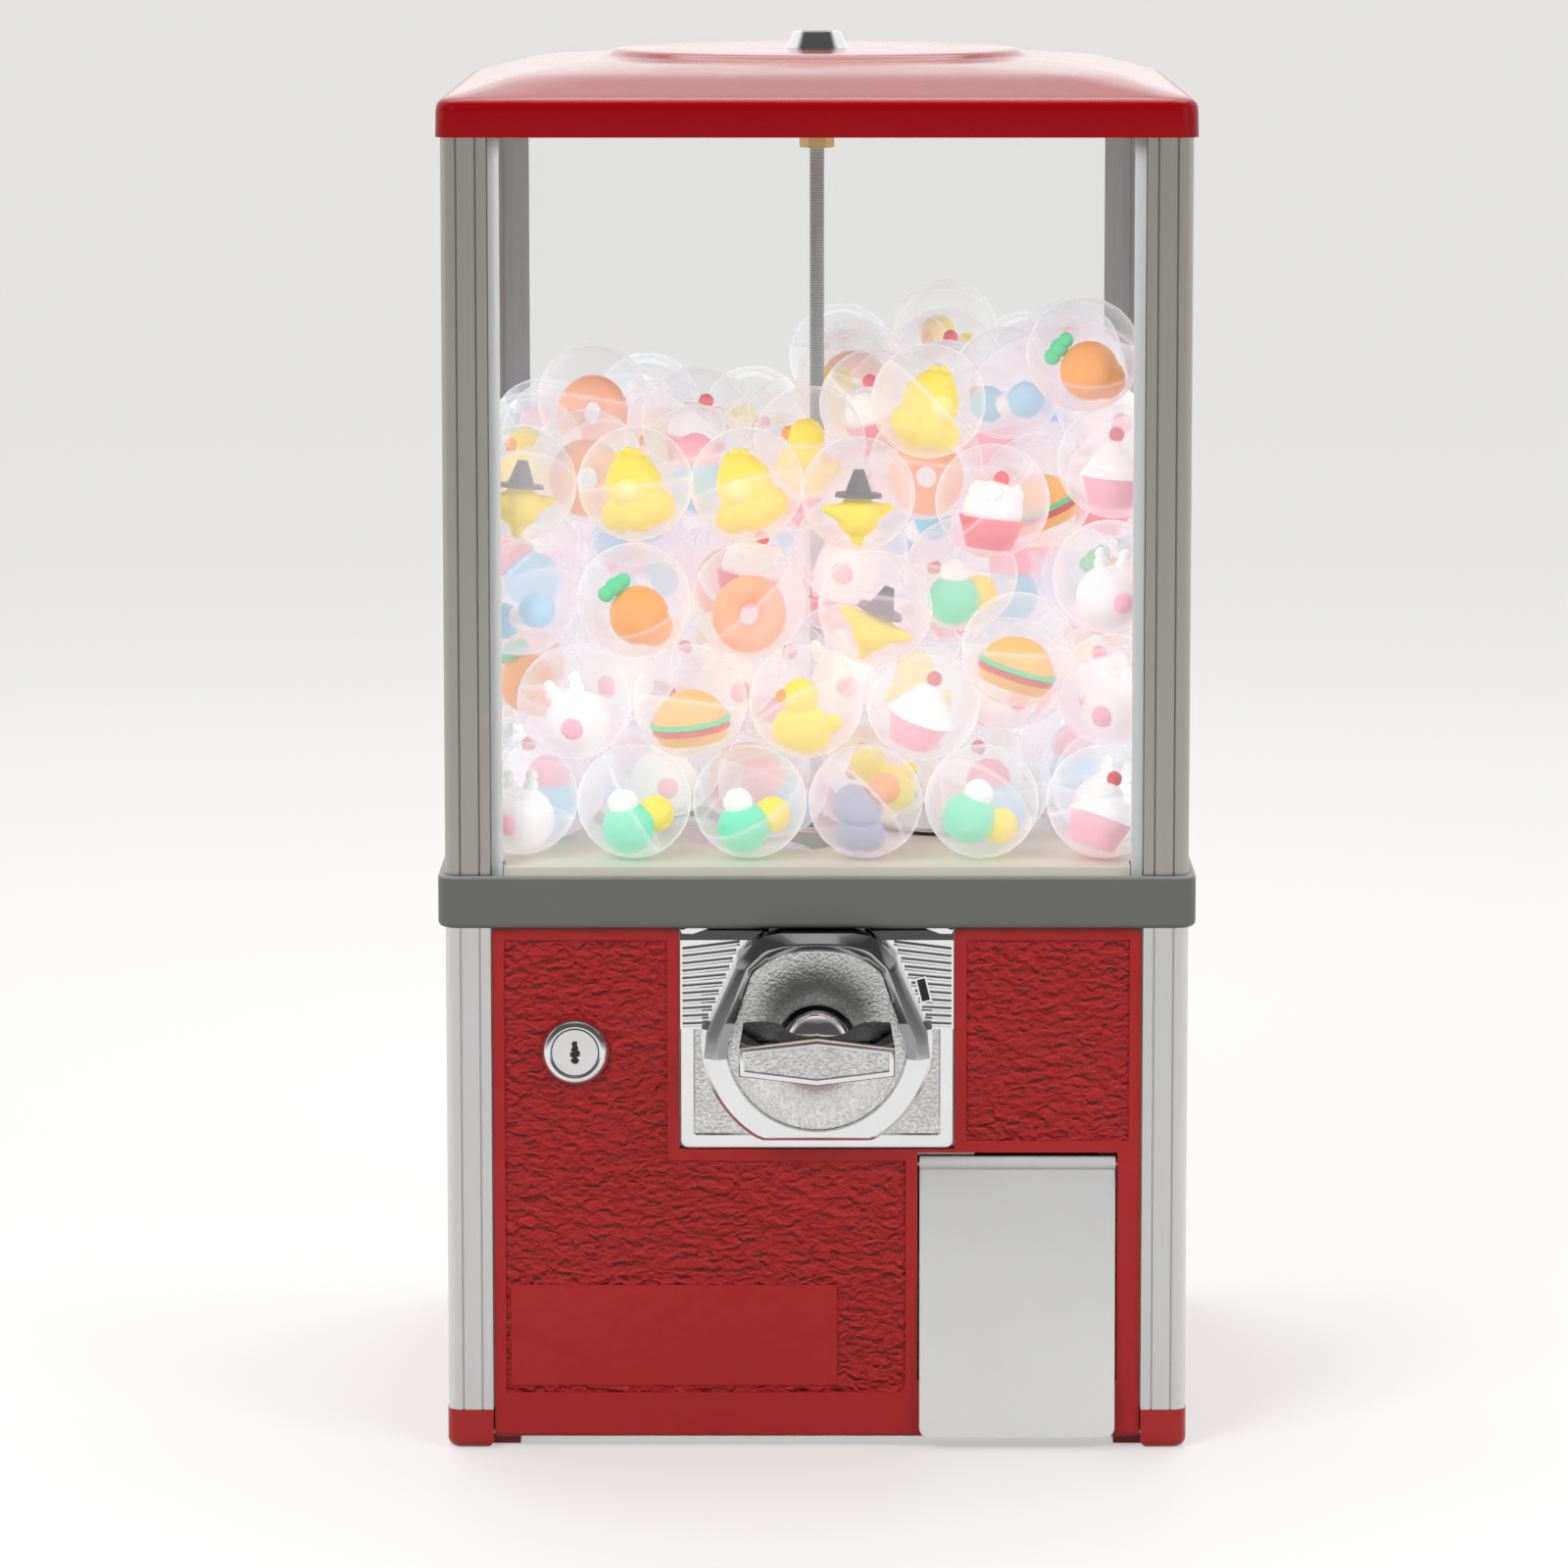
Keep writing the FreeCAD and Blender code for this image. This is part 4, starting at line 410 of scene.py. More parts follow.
for node_name, node_object in nodes.items():
    finish = finish_for(node_name)
    if not node_object.material_slots:
        node_object.data.materials.append(finish)
    for place in node_object.material_slots:
        place.material = finish


# Repeated pieces, grown by node trees

def grown(name, tree, values, points):
    """Plain mesh object that a node tree grows on points; values are set by the tree's socket names."""
    holder = placed(name + "_holder", points)
    modifier = holder.modifiers.new("grow", "NODES")
    modifier.node_group = tree
    for item in tree.interface.items_tree:
        if item.in_out == "INPUT" and item.name in values:
            modifier[item.identifier] = values[item.name]
    graph = bpy.context.evaluated_depsgraph_get()
    mesh = bpy.data.meshes.new_from_object(holder.evaluated_get(graph))
    bpy.data.objects.remove(holder)
    smooth(mesh, 40.0)
    return placed(name, mesh)


def point_cloud(name, places, turns, **values):
    """Mesh of loose points that carry a turn and further numbers for the node trees."""
    mesh = bpy.data.meshes.new(name)
    mesh.from_pydata([tuple(p) for p in places], [], [])
    attribute = mesh.attributes.new("turn", "FLOAT_VECTOR", "POINT")
    attribute.data.foreach_set("vector", np.array([tuple(t) for t in turns], dtype=np.float32).ravel())
    for label, numbers in values.items():
        kind = "INT" if isinstance(numbers[0], int) else "FLOAT"
        attribute = mesh.attributes.new(label, kind, "POINT")
        attribute.data.foreach_set("value", numbers)
    return mesh


def start_tree(name, sockets):
    """Node tree with named inputs, and the sockets that give their values."""
    tree = bpy.data.node_groups.new(name, "GeometryNodeTree")
    tree.interface.new_socket("Geometry", in_out="INPUT", socket_type="NodeSocketGeometry")
    for label, kind in sockets:
        tree.interface.new_socket(label, in_out="INPUT", socket_type="NodeSocket" + kind)
    tree.interface.new_socket("Geometry", in_out="OUTPUT", socket_type="NodeSocketGeometry")
    return tree, add(tree, "NodeGroupInput").outputs


def point_value(tree, name, kind):
    return add(tree, "GeometryNodeInputNamedAttribute", {"Name": name}, data_type=kind).outputs[0]


def end_tree(tree, given, shape, more=None):
    """Sets a shape on every point, turned as the point says, as a real mesh in the given finish."""
    inputs = {"Points": given["Geometry"], "Instance": shape.outputs[0],
              "Rotation": point_value(tree, "turn", "FLOAT_VECTOR")}
    inputs.update(more or {})
    spread = add(tree, "GeometryNodeInstanceOnPoints", inputs)
    real = add(tree, "GeometryNodeRealizeInstances", {"Geometry": spread.outputs[0]})
    done = add(tree, "GeometryNodeSetMaterial",
               {"Geometry": real.outputs[0], "Material": given["Finish"]})
    add(tree, "NodeGroupOutput", {"Geometry": done.outputs[0]})
    return tree


# Coin mechanism

# Order of the finishes on the handle and on the faceplate
POLISHED, SANDED, SLOT_SHADE, HOOD = range(4)

# Wings and their ribs: lowest heights about the axis and spacing, in mm
WING_FOOT = 3.2
RIB_FOOT = 5.2
RIB_PITCH = 3.3
RIB_COUNT = 11

plate_low, plate_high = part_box("mech_faceplate")
handle_low, handle_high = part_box("turn_handle")
axis_z = (handle_low.z + handle_high.z) / 2
dial_radius = (handle_high.x - handle_low.x) / 2
dial_back = handle_high.y
handle_front = handle_low.y
hood_front = plate_low.y
plate_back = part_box("mech_bracket")[0].y
plate_face = plate_back - 4.2 * MM
sunk = plate_face + 0.2 * MM
plate_half = plate_high.x
plate_bottom = plate_low.z - axis_z
plate_top = plate_high.z - axis_z
ring_front = hood_front + 5.2 * MM
dial_front = ring_front + 1.5 * MM
dial_hole = dial_radius + 0.6 * MM


def stitched(bm, loops, finishes, closed=True):
    """Faces between loops of equal length; finishes gives the finish of each band."""
    rows = [[bm.verts.new(p) for p in loop] for loop in loops]
    count = len(rows[0])
    for k, (low, high) in enumerate(zip(rows, rows[1:])):
        for i in range(count if closed else count - 1):
            j = (i + 1) % count
            face = bm.faces.new((low[i], low[j], high[j], high[i]))
            face.material_index = finishes[k]
    return rows


def block(bm, loops, face_finish=POLISHED):
    """Polished solid between loops; the last loop's face may have a finish of its own."""
    rows = stitched(bm, loops, [POLISHED] * (len(loops) - 1))
    bm.faces.new(rows[-1]).material_index = face_finish
    bm.faces.new(rows[0])


def arch(bm, loops, finish):
    """Open band whose last loop lies on its first, with its two ends closed."""
    rows = stitched(bm, loops, [finish] * (len(loops) - 1), closed=False)
    for side in (0, -1):
        bm.faces.new([row[side] for row in rows[:-1]])


def round_angles(steps):
    return [2 * math.pi * k / steps for k in range(steps)]


def about_axis(x, z, y):
    return Vector((x, y, axis_z + z))


def polar(radius, angle, y):
    return about_axis(radius * math.cos(angle), radius * math.sin(angle), y)


def lathe(bm, profile, finishes, centre):
    """Surface turned about an axis along Y through centre, as (x, z); profile holds (radius, y)."""
    loops = []
    for radius, y in profile:
        loops.append([Vector((centre[0] + radius * math.cos(a), y, centre[1] + radius * math.sin(a)))
                      for a in round_angles(72)])
    stitched(bm, loops, finishes)


def inset(points, distance):
    """Convex outline, given counter-clockwise as (x, z), moved inwards."""
    moved = []
    count = len(points)
    for k in range(count):
        before = Vector(points[k - 1])
        here = Vector(points[k])
        after = Vector(points[(k + 1) % count])
        first = (here - before).normalized()
        second = (after - here).normalized()
        inward = Vector((-first.y, first.x)) + Vector((-second.y, second.x))
        share = distance / max(0.2, 1 + first.dot(second))
        moved.append(tuple(here + inward * share))
    return moved


# Dial and boss, turned about the axis: radius and how far in front of the dial's edge, in mm
FLARE = ((35.5, 0.1), (32.5, 0.4), (29.5, 0.9), (26.5, 1.8), (23.5, 3.1), (21.0, 4.8), (18.6, 7.0),
         (16.8, 9.6), (15.4, 12.4), (14.4, 14.2), (13.4, 15.8), (11.8, 17.6), (9.6, 19.2), (6.5, 20.5),
         (3.0, 21.1), (0.3, 21.2))
# First and last band of the dial that is sand-cast
SAND_FROM, SAND_TO = 3, 10


def bar_outline(reach, end_low, end_high, middle_low, middle_high):
    return [(-reach, end_low), (0, middle_low), (reach, end_low),
            (reach, end_high), (0, middle_high), (-reach, end_high)]


def turn_handle():
    """Flared dial, domed boss and the tapered bar with its recessed sand-cast face."""
    bm = bmesh.new()
    r = dial_radius
    edge = 0.6 * MM
    dial = [(0.3 * MM, dial_back), (r, dial_back), (r, dial_front + edge), (r - edge, dial_front)]
    dial += [(radius * MM, dial_front - ahead * MM) for radius, ahead in FLARE]
    bands = [SANDED if SAND_FROM <= k <= SAND_TO else POLISHED for k in range(len(dial) - 1)]
    lathe(bm, dial, bands, (0.0, axis_z))
    base = bar_outline(30.5, -9.5, 8.0, -13.0, 13.5)
    face = bar_outline(32.2, -10.4, 1.2, -14.4, 5.0)
    shoulder = [(0.1 * a + 0.9 * c, 0.1 * b + 0.9 * d) for (a, b), (c, d) in zip(base, face)]
    steps = [(base, 0, dial_front), (shoulder, 0, handle_front + 2.6 * MM),
             (face, 0, handle_front + 1.0 * MM), (face, 0.45, handle_front + 0.25 * MM),
             (face, 1.1, handle_front), (face, 2.3, handle_front), (face, 2.9, handle_front + 0.9 * MM)]
    loops = []
    for outline, spare, y in steps:
        loops.append([about_axis(x * MM, z * MM, y) for x, z in inset(outline, spare)])
    block(bm, loops, SANDED)
    piece = finish_mesh("coin_handle", bm, [chrome, sand_chrome], "coin_drive", 28.0)
    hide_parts("turn_handle")


# Right half of the hood, from its lower end up: outer and inner corner as (x, z) in mm about the axis
HOOD_PAIRS = (((47.0, -7.0), (37.6, -7.0)), ((46.0, 4.0), (36.8, 0.0)), ((34.0, 31.0), (27.4, 27.6)),
              ((33.2, 34.0), (26.2, 30.0)), ((25.4, 42.6), (20.6, 34.6)), ((22.0, 44.6), (19.0, 35.4)),
              ((15.0, 45.6), (13.4, 37.2)), ((7.5, 45.6), (6.8, 38.3)), ((0.0, 45.6), (0.0, 38.6)))


def coin_hood(bm):
    """Faceted arch over the upper half of the dial, with a bright ridge and an inner lip."""
    left = [((-a, b), (-c, d)) for (a, b), (c, d) in reversed(HOOD_PAIRS[:-1])]
    pairs = list(HOOD_PAIRS) + left
    lip = hood_front + 3.4 * MM
    steps = [(0.0, lip), (0.0, hood_front + 2.2 * MM), (0.34, hood_front + 0.3 * MM),
             (0.42, hood_front), (0.5, hood_front + 0.25 * MM), (1.0, hood_front + 4.4 * MM),
             (1.0, sunk), (0.75, sunk), (0.75, lip), (0.0, lip)]
    loops = []
    for share, y in steps:
        spots = [Vector(inner).lerp(Vector(outer), share) * MM for outer, inner in pairs]
        loops.append([about_axis(spot.x, min(spot.y, plate_top), y) for spot in spots])
    arch(bm, loops, HOOD)


def coin_ring(bm):
    """Bright half ring under the dial, with stepped ends and a lip over the dial's edge."""
    lowest = plate_bottom + 5.4 * MM
    widest = 48.2 * MM
    lip = dial_radius - 1.7 * MM - dial_hole
    lip_back = dial_front - 0.4 * MM

    def outer_edge(angle):
        sine = math.sin(angle)
        return min(widest, lowest / sine) if sine < -0.5 else widest
    inner, outer = (lambda angle: dial_hole), outer_edge
    steps = [(inner, 0.0, sunk), (inner, 0.0, lip_back), (inner, lip, lip_back),
             (inner, lip, ring_front + 0.6 * MM), (inner, lip + 0.7 * MM, ring_front),
             (outer, -1.4 * MM, ring_front), (outer, 0.0, ring_front + 1.4 * MM), (outer, 0.0, sunk),
             (inner, 0.0, sunk)]
    angles = [math.radians(a) for a in range(174, 367, 4)]
    arch(bm, [[polar(edge(a) + shift, a, y) for a in angles] for edge, shift, y in steps], POLISHED)


def ray_reach(outline, angle):
    """Distance from the axis to a closed outline along a ray."""
    ray = Vector((math.cos(angle), math.sin(angle)))
    best = 0.0
    for a, b in zip(outline, outline[1:]):
        a, b = Vector(a), Vector(b)
        side = b - a
        cross = ray.x * side.y - ray.y * side.x
        if abs(cross) < 1e-9:
            continue
        t = (a.x * side.y - a.y * side.x) / cross
        u = (a.x * ray.y - a.y * ray.x) / cross
        if t > 0 and -1e-6 <= u <= 1 + 1e-6:
            best = max(best, t)
    return best


def plate_outline(spare):
    """Outline of the plate about the axis, as (x, z), with its sides and bottom moved inwards."""
    half, bottom = plate_half - spare, plate_bottom + spare
    radius = max(3 * MM - spare, 0.2 * MM)
    points = [(half, plate_top), (-half, plate_top)]
    for middle, start in ((radius - half, 180), (half - radius, 270)):
        for k in range(5):
            a = math.radians(start + 22.5 * k)
            points.append((middle + radius * math.cos(a), bottom + radius + radius * math.sin(a)))
    return points + points[:1]


def coin_plate(bm):
    """Plate with a raised border, drawn as bands round the hole for the dial."""
    corners = [math.atan2(z, x) for x, z in plate_outline(0)]
    angles = sorted({round(a % (2 * math.pi), 6) for a in corners}
                    | {round(math.radians(a), 6) for a in range(0, 360, 5)})
    rim = plate_face - 1.0 * MM
    hole = None
    steps = [(hole, plate_back), (hole, plate_face), (6.1 * MM, plate_face), (5.4 * MM, rim),
             (0.9 * MM, rim), (0.25 * MM, rim + 0.3 * MM), (0.0, rim + 1.0 * MM), (0.0, plate_back),
             (hole, plate_back)]
    loops = []
    for spare, y in steps:
        reaches = [dial_hole] * len(angles)
        if spare is not hole:
            reaches = [ray_reach(plate_outline(spare), a) for a in angles]
        loops.append([polar(reach, a, y) for reach, a in zip(reaches, angles)])
    stitched(bm, loops, [POLISHED, SANDED] + [POLISHED] * 6)


def hood_side(z):
    """X of the hood's outer side, in mm, at a height in mm about the axis."""
    low, high = HOOD_PAIRS[1][0], HOOD_PAIRS[2][0]
    return low[0] + (high[0] - low[0]) * (z - low[1]) / (high[1] - low[1])


def wing(bm, side):
    """Raised pad beside the hood that carries the ribs, with a steep bevel along its top."""
    low_z, high_z = WING_FOOT * MM, plate_top - 4.8 * MM
    front = plate_face - 2.0 * MM
    outline = [(plate_half, low_z), (plate_half, high_z), ((hood_side(high_z / MM) - 1) * MM, high_z),
               ((hood_side(WING_FOOT) - 1) * MM, low_z)]
    block(bm, [[about_axis(side * x, z, y) for x, z in outline] for y in (sunk, front)])
    bevel = [(front, high_z), (plate_face - 0.2 * MM, plate_top - 0.2 * MM), (sunk, high_z)]
    block(bm, [[about_axis(side * x, z, y) for y, z in bevel] for x in (20 * MM, plate_half)])


def ribs_tree():
    """Node tree: on every point a slim rib with a rounded back, as long as the point says."""
    tree, given = start_tree("wing_ribs", (("Width", "Float"), ("Finish", "Material")))
    bar = add(tree, "GeometryNodeMeshCylinder",
              {"Vertices": 14, "Radius": given["Width"], "Depth": 1.0})
    laid = add(tree, "GeometryNodeTransform",
               {"Geometry": bar.outputs["Mesh"], "Rotation": (0, math.pi / 2, 0)})
    length = point_value(tree, "length", "FLOAT")
    size = add(tree, "ShaderNodeCombineXYZ", {"X": length, "Y": 0.7, "Z": 1.0})
    return end_tree(tree, given, laid, {"Scale": size.outputs[0]})


def wing_ribs(side, tree, name):
    """Ribs of one wing, each a little shorter and more tilted than the one under it."""
    tilt = math.radians(7)
    places, lengths, turns = [], [], []
    for k in range(RIB_COUNT):
        z = RIB_FOOT + RIB_PITCH * k
        inner, outer = hood_side(z) + 1.2, plate_half / MM - 0.9
        places.append(about_axis(side * (inner + outer) / 2 * MM, z * MM, plate_face - 1.9 * MM))
        lengths.append((outer - inner) * MM)
        turns.append((0, side * tilt * (0.3 + 0.07 * k), 0))
    points = point_cloud(name, places, turns, length=lengths)
    piece = grown(name, tree, {"Width": 1.2 * MM, "Finish": chrome}, points)
    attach(piece, "cabinet")


def slot_window(bm):
    """Small framed slot on the right wing, through which the coin shows; its sunken face is black, as
    painted shade inside the slot.
    """
    outline = [(-2.4, -5.4), (2.4, -5.4), (2.4, 5.4), (-2.4, 5.4)]
    middle_x, middle_z = 44.4, 20.0
    lean = math.radians(14)
    front = plate_face - 3.3 * MM
    loops = []
    for spare, y in ((0, plate_face), (0, front), (0.7, front), (0.9, plate_face - 2.9 * MM)):
        loop = []
        for x, z in inset(outline, spare):
            across = x * math.cos(lean) - z * math.sin(lean)
            up = x * math.sin(lean) + z * math.cos(lean)
            loop.append(about_axis((middle_x + across) * MM, (middle_z + up) * MM, y))
        loops.append(loop)
    # The sunken face is black: painted shade inside the slot.
    block(bm, loops, SLOT_SHADE)


def panel_lock():
    """Lock body with a rounded bezel."""
    low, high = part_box("lock_body")
    front, back = low.y, high.y
    outer = (high.x - low.x) / 2
    centre = ((low.x + high.x) / 2, (low.z + high.z) / 2)
    bore, barrel = 9.75 * MM, 11.5 * MM
    profile = [(bore, back), (bore, front + 1.2 * MM), (10.3 * MM, front + 0.3 * MM),
               (10.9 * MM, front), (11.6 * MM, front + 0.1 * MM), (12.6 * MM, front + 0.8 * MM),
               (13.5 * MM, front + 1.9 * MM), (outer - 0.15 * MM, front + 3.2 * MM),
               (outer, door_front), (barrel, door_front), (barrel, back), (bore, back)]
    bm = bmesh.new()
    lathe(bm, profile, [POLISHED] * (len(profile) - 1), centre)
    piece = finish_mesh("lock_bezel", bm, [chrome], "front_door", 34.0)
    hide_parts("lock_body")


# Outline of the key slot, from its top round by the left, as (x, z) in mm about the lock's axis
KEY_SLOT = ((0.9, 4.6), (-0.9, 4.6), (-1.5, 3.6), (-0.9, 2.4), (-1.9, 1.2), (-0.7, 0.2), (-1.0, -2.2),
            (-1.9, -3.2), (-1.2, -4.4), (1.2, -4.4), (1.9, -3.2), (0.7, -2.0), (1.6, -0.6), (0.8, 0.6),
            (1.5, 2.0), (0.9, 3.2))


def key_slot():
    """Thin black block in the shape of the keyway, just proud of the plug's face: painted shade for the
    keyway's hollow.
    """
    low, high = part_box("lock_plug")
    centre = Vector(((low.x + high.x) / 2, 0, (low.z + high.z) / 2))
    loops = []
    for y in (low.y + 0.6 * MM, low.y - 0.06 * MM):
        loops.append([centre + Vector((x * MM, y, z * MM)) for x, z in KEY_SLOT])
    bm = bmesh.new()
    block(bm, loops)
    finish_mesh("key_slot", bm, [box_black], "panel_lock")


def coin_faceplate():
    """Plate, hood, ring, wings and slot window as one casting, with the ribs on its wings."""
    bm = bmesh.new()
    coin_plate(bm)
    coin_hood(bm)
    coin_ring(bm)
    for side in (-1, 1):
        wing(bm, side)
    slot_window(bm)
    finishes = [chrome, sand_chrome, box_black, hood_chrome]
    piece = finish_mesh("coin_faceplate", bm, finishes, "cabinet", 24.0)
    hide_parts("mech_faceplate")
    tree = ribs_tree()
    wing_ribs(-1, tree, "wing_ribs_left")
    wing_ribs(1, tree, "wing_ribs_right")


# Lid

# Sections of the lid from its outer bottom edge over the top to the hole and back along the inside:
# half its width, radius of its corners and height over the bottom edge in mm, and then how evenly
# its points are spread
LID_SECTIONS = ((157.0, 8.5, 0.0, 0.0), (157.0, 8.5, 0.8, 0.0), (156.8, 8.5, 10.5, 0.0),
                (156.6, 8.5, 12.4, 0.0), (156.1, 8.5, 13.8, 0.0), (155.2, 8.8, 14.8, 0.0),
                (153.8, 9.4, 15.6, 0.0), (151.4, 10.8, 16.4, 0.05), (146.0, 14.0, 17.95, 0.1),
                (138.0, 17.5, 20.25, 0.2), (130.5, 21.0, 22.4, 0.3), (126.0, 23.0, 23.6, 0.35),
                (121.5, 26.0, 24.45, 0.4), (116.0, 31.0, 25.15, 0.5), (109.0, 39.0, 25.95, 0.6),
                (101.0, 50.0, 26.85, 0.75), (94.5, 66.0, 27.5, 0.85), (92.5, 80.0, 27.85, 0.95),
                (91.2, 91.2, 28.1, 1.0), (90.0, 90.0, 28.5, 1.0), (88.9, 88.9, 29.3, 1.0),
                (87.8, 87.8, 30.2, 1.0), (86.4, 86.4, 30.8, 1.0), (84.4, 84.4, 31.0, 1.0),
                (60.0, 60.0, 31.0, 1.0), (30.0, 30.0, 31.0, 1.0), (9.6, 9.6, 31.0, 1.0),
                (9.6, 9.6, 28.5, 1.0), (66.0, 66.0, 28.5, 1.0), (66.0, 66.0, 25.9, 1.0),
                (74.0, 60.0, 25.7, 0.9), (102.0, 28.0, 22.8, 0.5), (135.0, 12.0, 13.7, 0.1),
                (155.2, 6.2, 13.7, 0.0), (155.2, 6.2, 0.0, 0.0), (157.0, 8.5, 0.0, 0.0))


def square_ray(half, corner, angle):
    """Distance from the middle of a rounded square to its edge along a ray."""
    across, along = sorted((abs(math.cos(angle)), abs(math.sin(angle))))
    straight = half / along
    centre = half - corner
    if straight * across <= centre:
        return straight
    middle = centre * (across + along)
    return middle + math.sqrt(middle ** 2 - 2 * centre ** 2 + corner ** 2)


def lid_angles(half, corner, spread, side_steps=18, corner_steps=8):
    """Angles of a section's points: close together at the rim's corners, or evenly spread."""
    edge = math.atan2(half - corner, half)
    marks = [edge * (2 * k / side_steps - 1) for k in range(side_steps)]
    marks += [edge + (math.pi / 2 - 2 * edge) * k / corner_steps for k in range(corner_steps)]
    angles = []
    for quarter in range(4):
        for k, mark in enumerate(marks):
            even = -edge + math.pi / 2 * k / len(marks)
            angles.append(quarter * math.pi / 2 + mark * (1 - spread) + even * spread)
    return angles


def lid_shell():
    """Pressed lid with soft creases and a soft raised disc."""
    low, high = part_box("lid")
    middle = (low + high) / 2
    rim_half, rim_corner = LID_SECTIONS[0][:2]
    loops = []
    for half, corner, height, spread in LID_SECTIONS:
        loop = []
        for angle in lid_angles(rim_half, rim_corner, spread):
            reach = square_ray(half, corner, angle) * MM
            loop.append(Vector((middle.x + reach * math.cos(angle), middle.y + reach * math.sin(angle),
                                low.z + height * MM)))
        loops.append(loop)
    bm = bmesh.new()
    stitched(bm, loops, [0] * (len(loops) - 1))
    piece = finish_mesh("lid_shell", bm, [lid_red], "lid", 40.0)
    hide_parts("lid")


# Capsules and toys

# In mm, as the sizes of the toys are
CAPSULE_RADIUS = 24.0


def mesh_arrays(node):
    """Corners and triangles of a CAD node."""
    mesh = nodes[node].data
    mesh.calc_loop_triangles()
    corners = np.zeros(len(mesh.vertices) * 3)
    mesh.vertices.foreach_get("co", corners)
    triangles = np.zeros(len(mesh.loop_triangles) * 3, dtype=np.int64)
    mesh.loop_triangles.foreach_get("vertices", triangles)
    return corners.reshape(-1, 3), triangles.reshape(-1, 3)


def islands(corners, triangles):
    """Groups of triangles that share corners, after corners at one place are merged."""
    _, merged = np.unique(np.round(corners * 1e6).astype(np.int64), axis=0, return_inverse=True)
    triangles = merged.reshape(-1)[triangles]
    label = np.arange(triangles.max() + 1)
    while True:
        least = label[triangles].min(1)
        before = label.copy()
        for k in range(3):
            np.minimum.at(label, triangles[:, k], least)
        label = label[label]
        if (label == before).all():
            break
    owner = label[triangles[:, 0]]
    return [np.nonzero(owner == value)[0] for value in np.unique(owner)]


def capsule_places(node):
    """Centre and dome direction of each capsule, from the normals of its dome's triangles."""
    corners, triangles = mesh_arrays(node)
    places = []
    for group in islands(corners, triangles):
        a, b, c = (corners[triangles[group][:, k]] for k in range(3))
        middle = (a + b + c) / 3
        normal = np.cross(b - a, c - a)
        area = np.linalg.norm(normal, axis=1)
        keep = area > 1e-12
        middle, normal, area = middle[keep], normal[keep] / area[keep][:, None], area[keep]
        across = np.eye(3) - normal[:, :, None] * normal[:, None, :]
        centre = np.linalg.solve((across * area[:, None, None]).sum(0),
                                 (np.einsum("nij,nj->ni", across, middle) * area[:, None]).sum(0))
        lean = (middle * area[:, None]).sum(0) / area.sum() - centre
        places.append((Vector(centre), Vector(lean).normalized()))
    return places


def half_shell_tree():
    """Node tree: one half of a capsule on every point, turned as the point says."""
    tree, given = start_tree("capsule_half", (
        ("Radius", "Float"), ("Rim", "Float"), ("Rim Height", "Float"), ("Side", "Float"),
        ("Finish", "Material")))
    globe = add(tree, "GeometryNodeMeshUVSphere",
                {"Segments": 32, "Rings": 16, "Radius": given["Radius"]})
    spot = add(tree, "GeometryNodeInputPosition").outputs[0]
    height = add(tree, "ShaderNodeSeparateXYZ", {0: spot}).outputs["Z"]
    below = add(tree, "FunctionNodeCompare", {0: height, 1: -0.1 * MM}, data_type="FLOAT",
                operation="LESS_THAN")
    half = add(tree, "GeometryNodeDeleteGeometry",
               {"Geometry": globe.outputs["Mesh"], "Selection": below.outputs[0]})
    band = add(tree, "GeometryNodeMeshCylinder",
               {"Vertices": 32, "Radius": given["Rim"], "Depth": given["Rim Height"]}, fill_type="NONE")
    lift = math_node(tree, "MULTIPLY", given["Rim Height"], 0.5)
    up = add(tree, "ShaderNodeCombineXYZ", {"Z": lift})
    raised = add(tree, "GeometryNodeTransform",
                 {"Geometry": band.outputs["Mesh"], "Translation": up.outputs[0]})
    joined = add(tree, "GeometryNodeJoinGeometry")
    for part in (half, raised):
        tree.links.new(part.outputs[0], joined.inputs[0])
    flip = add(tree, "ShaderNodeCombineXYZ", {"X": given["Side"]})
    sided = add(tree, "GeometryNodeTransform",
                {"Geometry": joined.outputs[0], "Rotation": flip.outputs[0]})
    return end_tree(tree, given, sided)


def capsule_shells(places):
    """Domes and cups of the pile; each cup has its own share of a pink tint."""
    chance = random.Random(5)
    centres = [p for p, _ in places]
    turns = [Vector((0, 0, 1)).rotation_difference(lean).to_euler() for _, lean in places]
    blush = [chance.random() for _ in places]
    shell = half_shell_tree()
    halves = (("capsule_lids", "capsule_domes", 0.0, dome_clear, CAPSULE_RADIUS),
              ("capsule_bases", "capsule_cups", math.pi, cup_clear, CAPSULE_RADIUS - 0.8))
    for name, node, side, material, rim in halves:
        points = point_cloud(name, centres, turns, blush=blush)
        values = {"Radius": CAPSULE_RADIUS * MM, "Rim": rim * MM, "Rim Height": 1.6 * MM,
                  "Side": side, "Finish": material}
        piece = grown(name, shell, values, points)
        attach(piece, "cabinet")
        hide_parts(node)


def ball(bm, x, y, z, radius):
    """Ball of a toy; sizes of toys are in millimetres about the toy's middle."""
    made = bmesh.ops.create_icosphere(bm, subdivisions=3 if radius > 8.9 else 2, radius=radius * MM,
                                      matrix=Matrix.Translation(Vector((x, y, z)) * MM))
    return made["verts"]


def turned_form(bm, profile, lean=0, z=0):
    """Closed form turned about Z from (radius, height) points, leaning about Y, lifted to z."""
    fit = Matrix.Translation((0, 0, z * MM)) @ Matrix.Rotation(math.radians(lean), 4, "Y")
    loops = []
    for radius, height in profile:
        loops.append([fit @ (Vector((radius * math.cos(a), radius * math.sin(a), height)) * MM)
                      for a in round_angles(24)])
    rows = stitched(bm, loops, [0] * (len(loops) - 1))
    bm.faces.new(rows[0][::-1])
    bm.faces.new(rows[-1])
    return [v for row in rows for v in row]


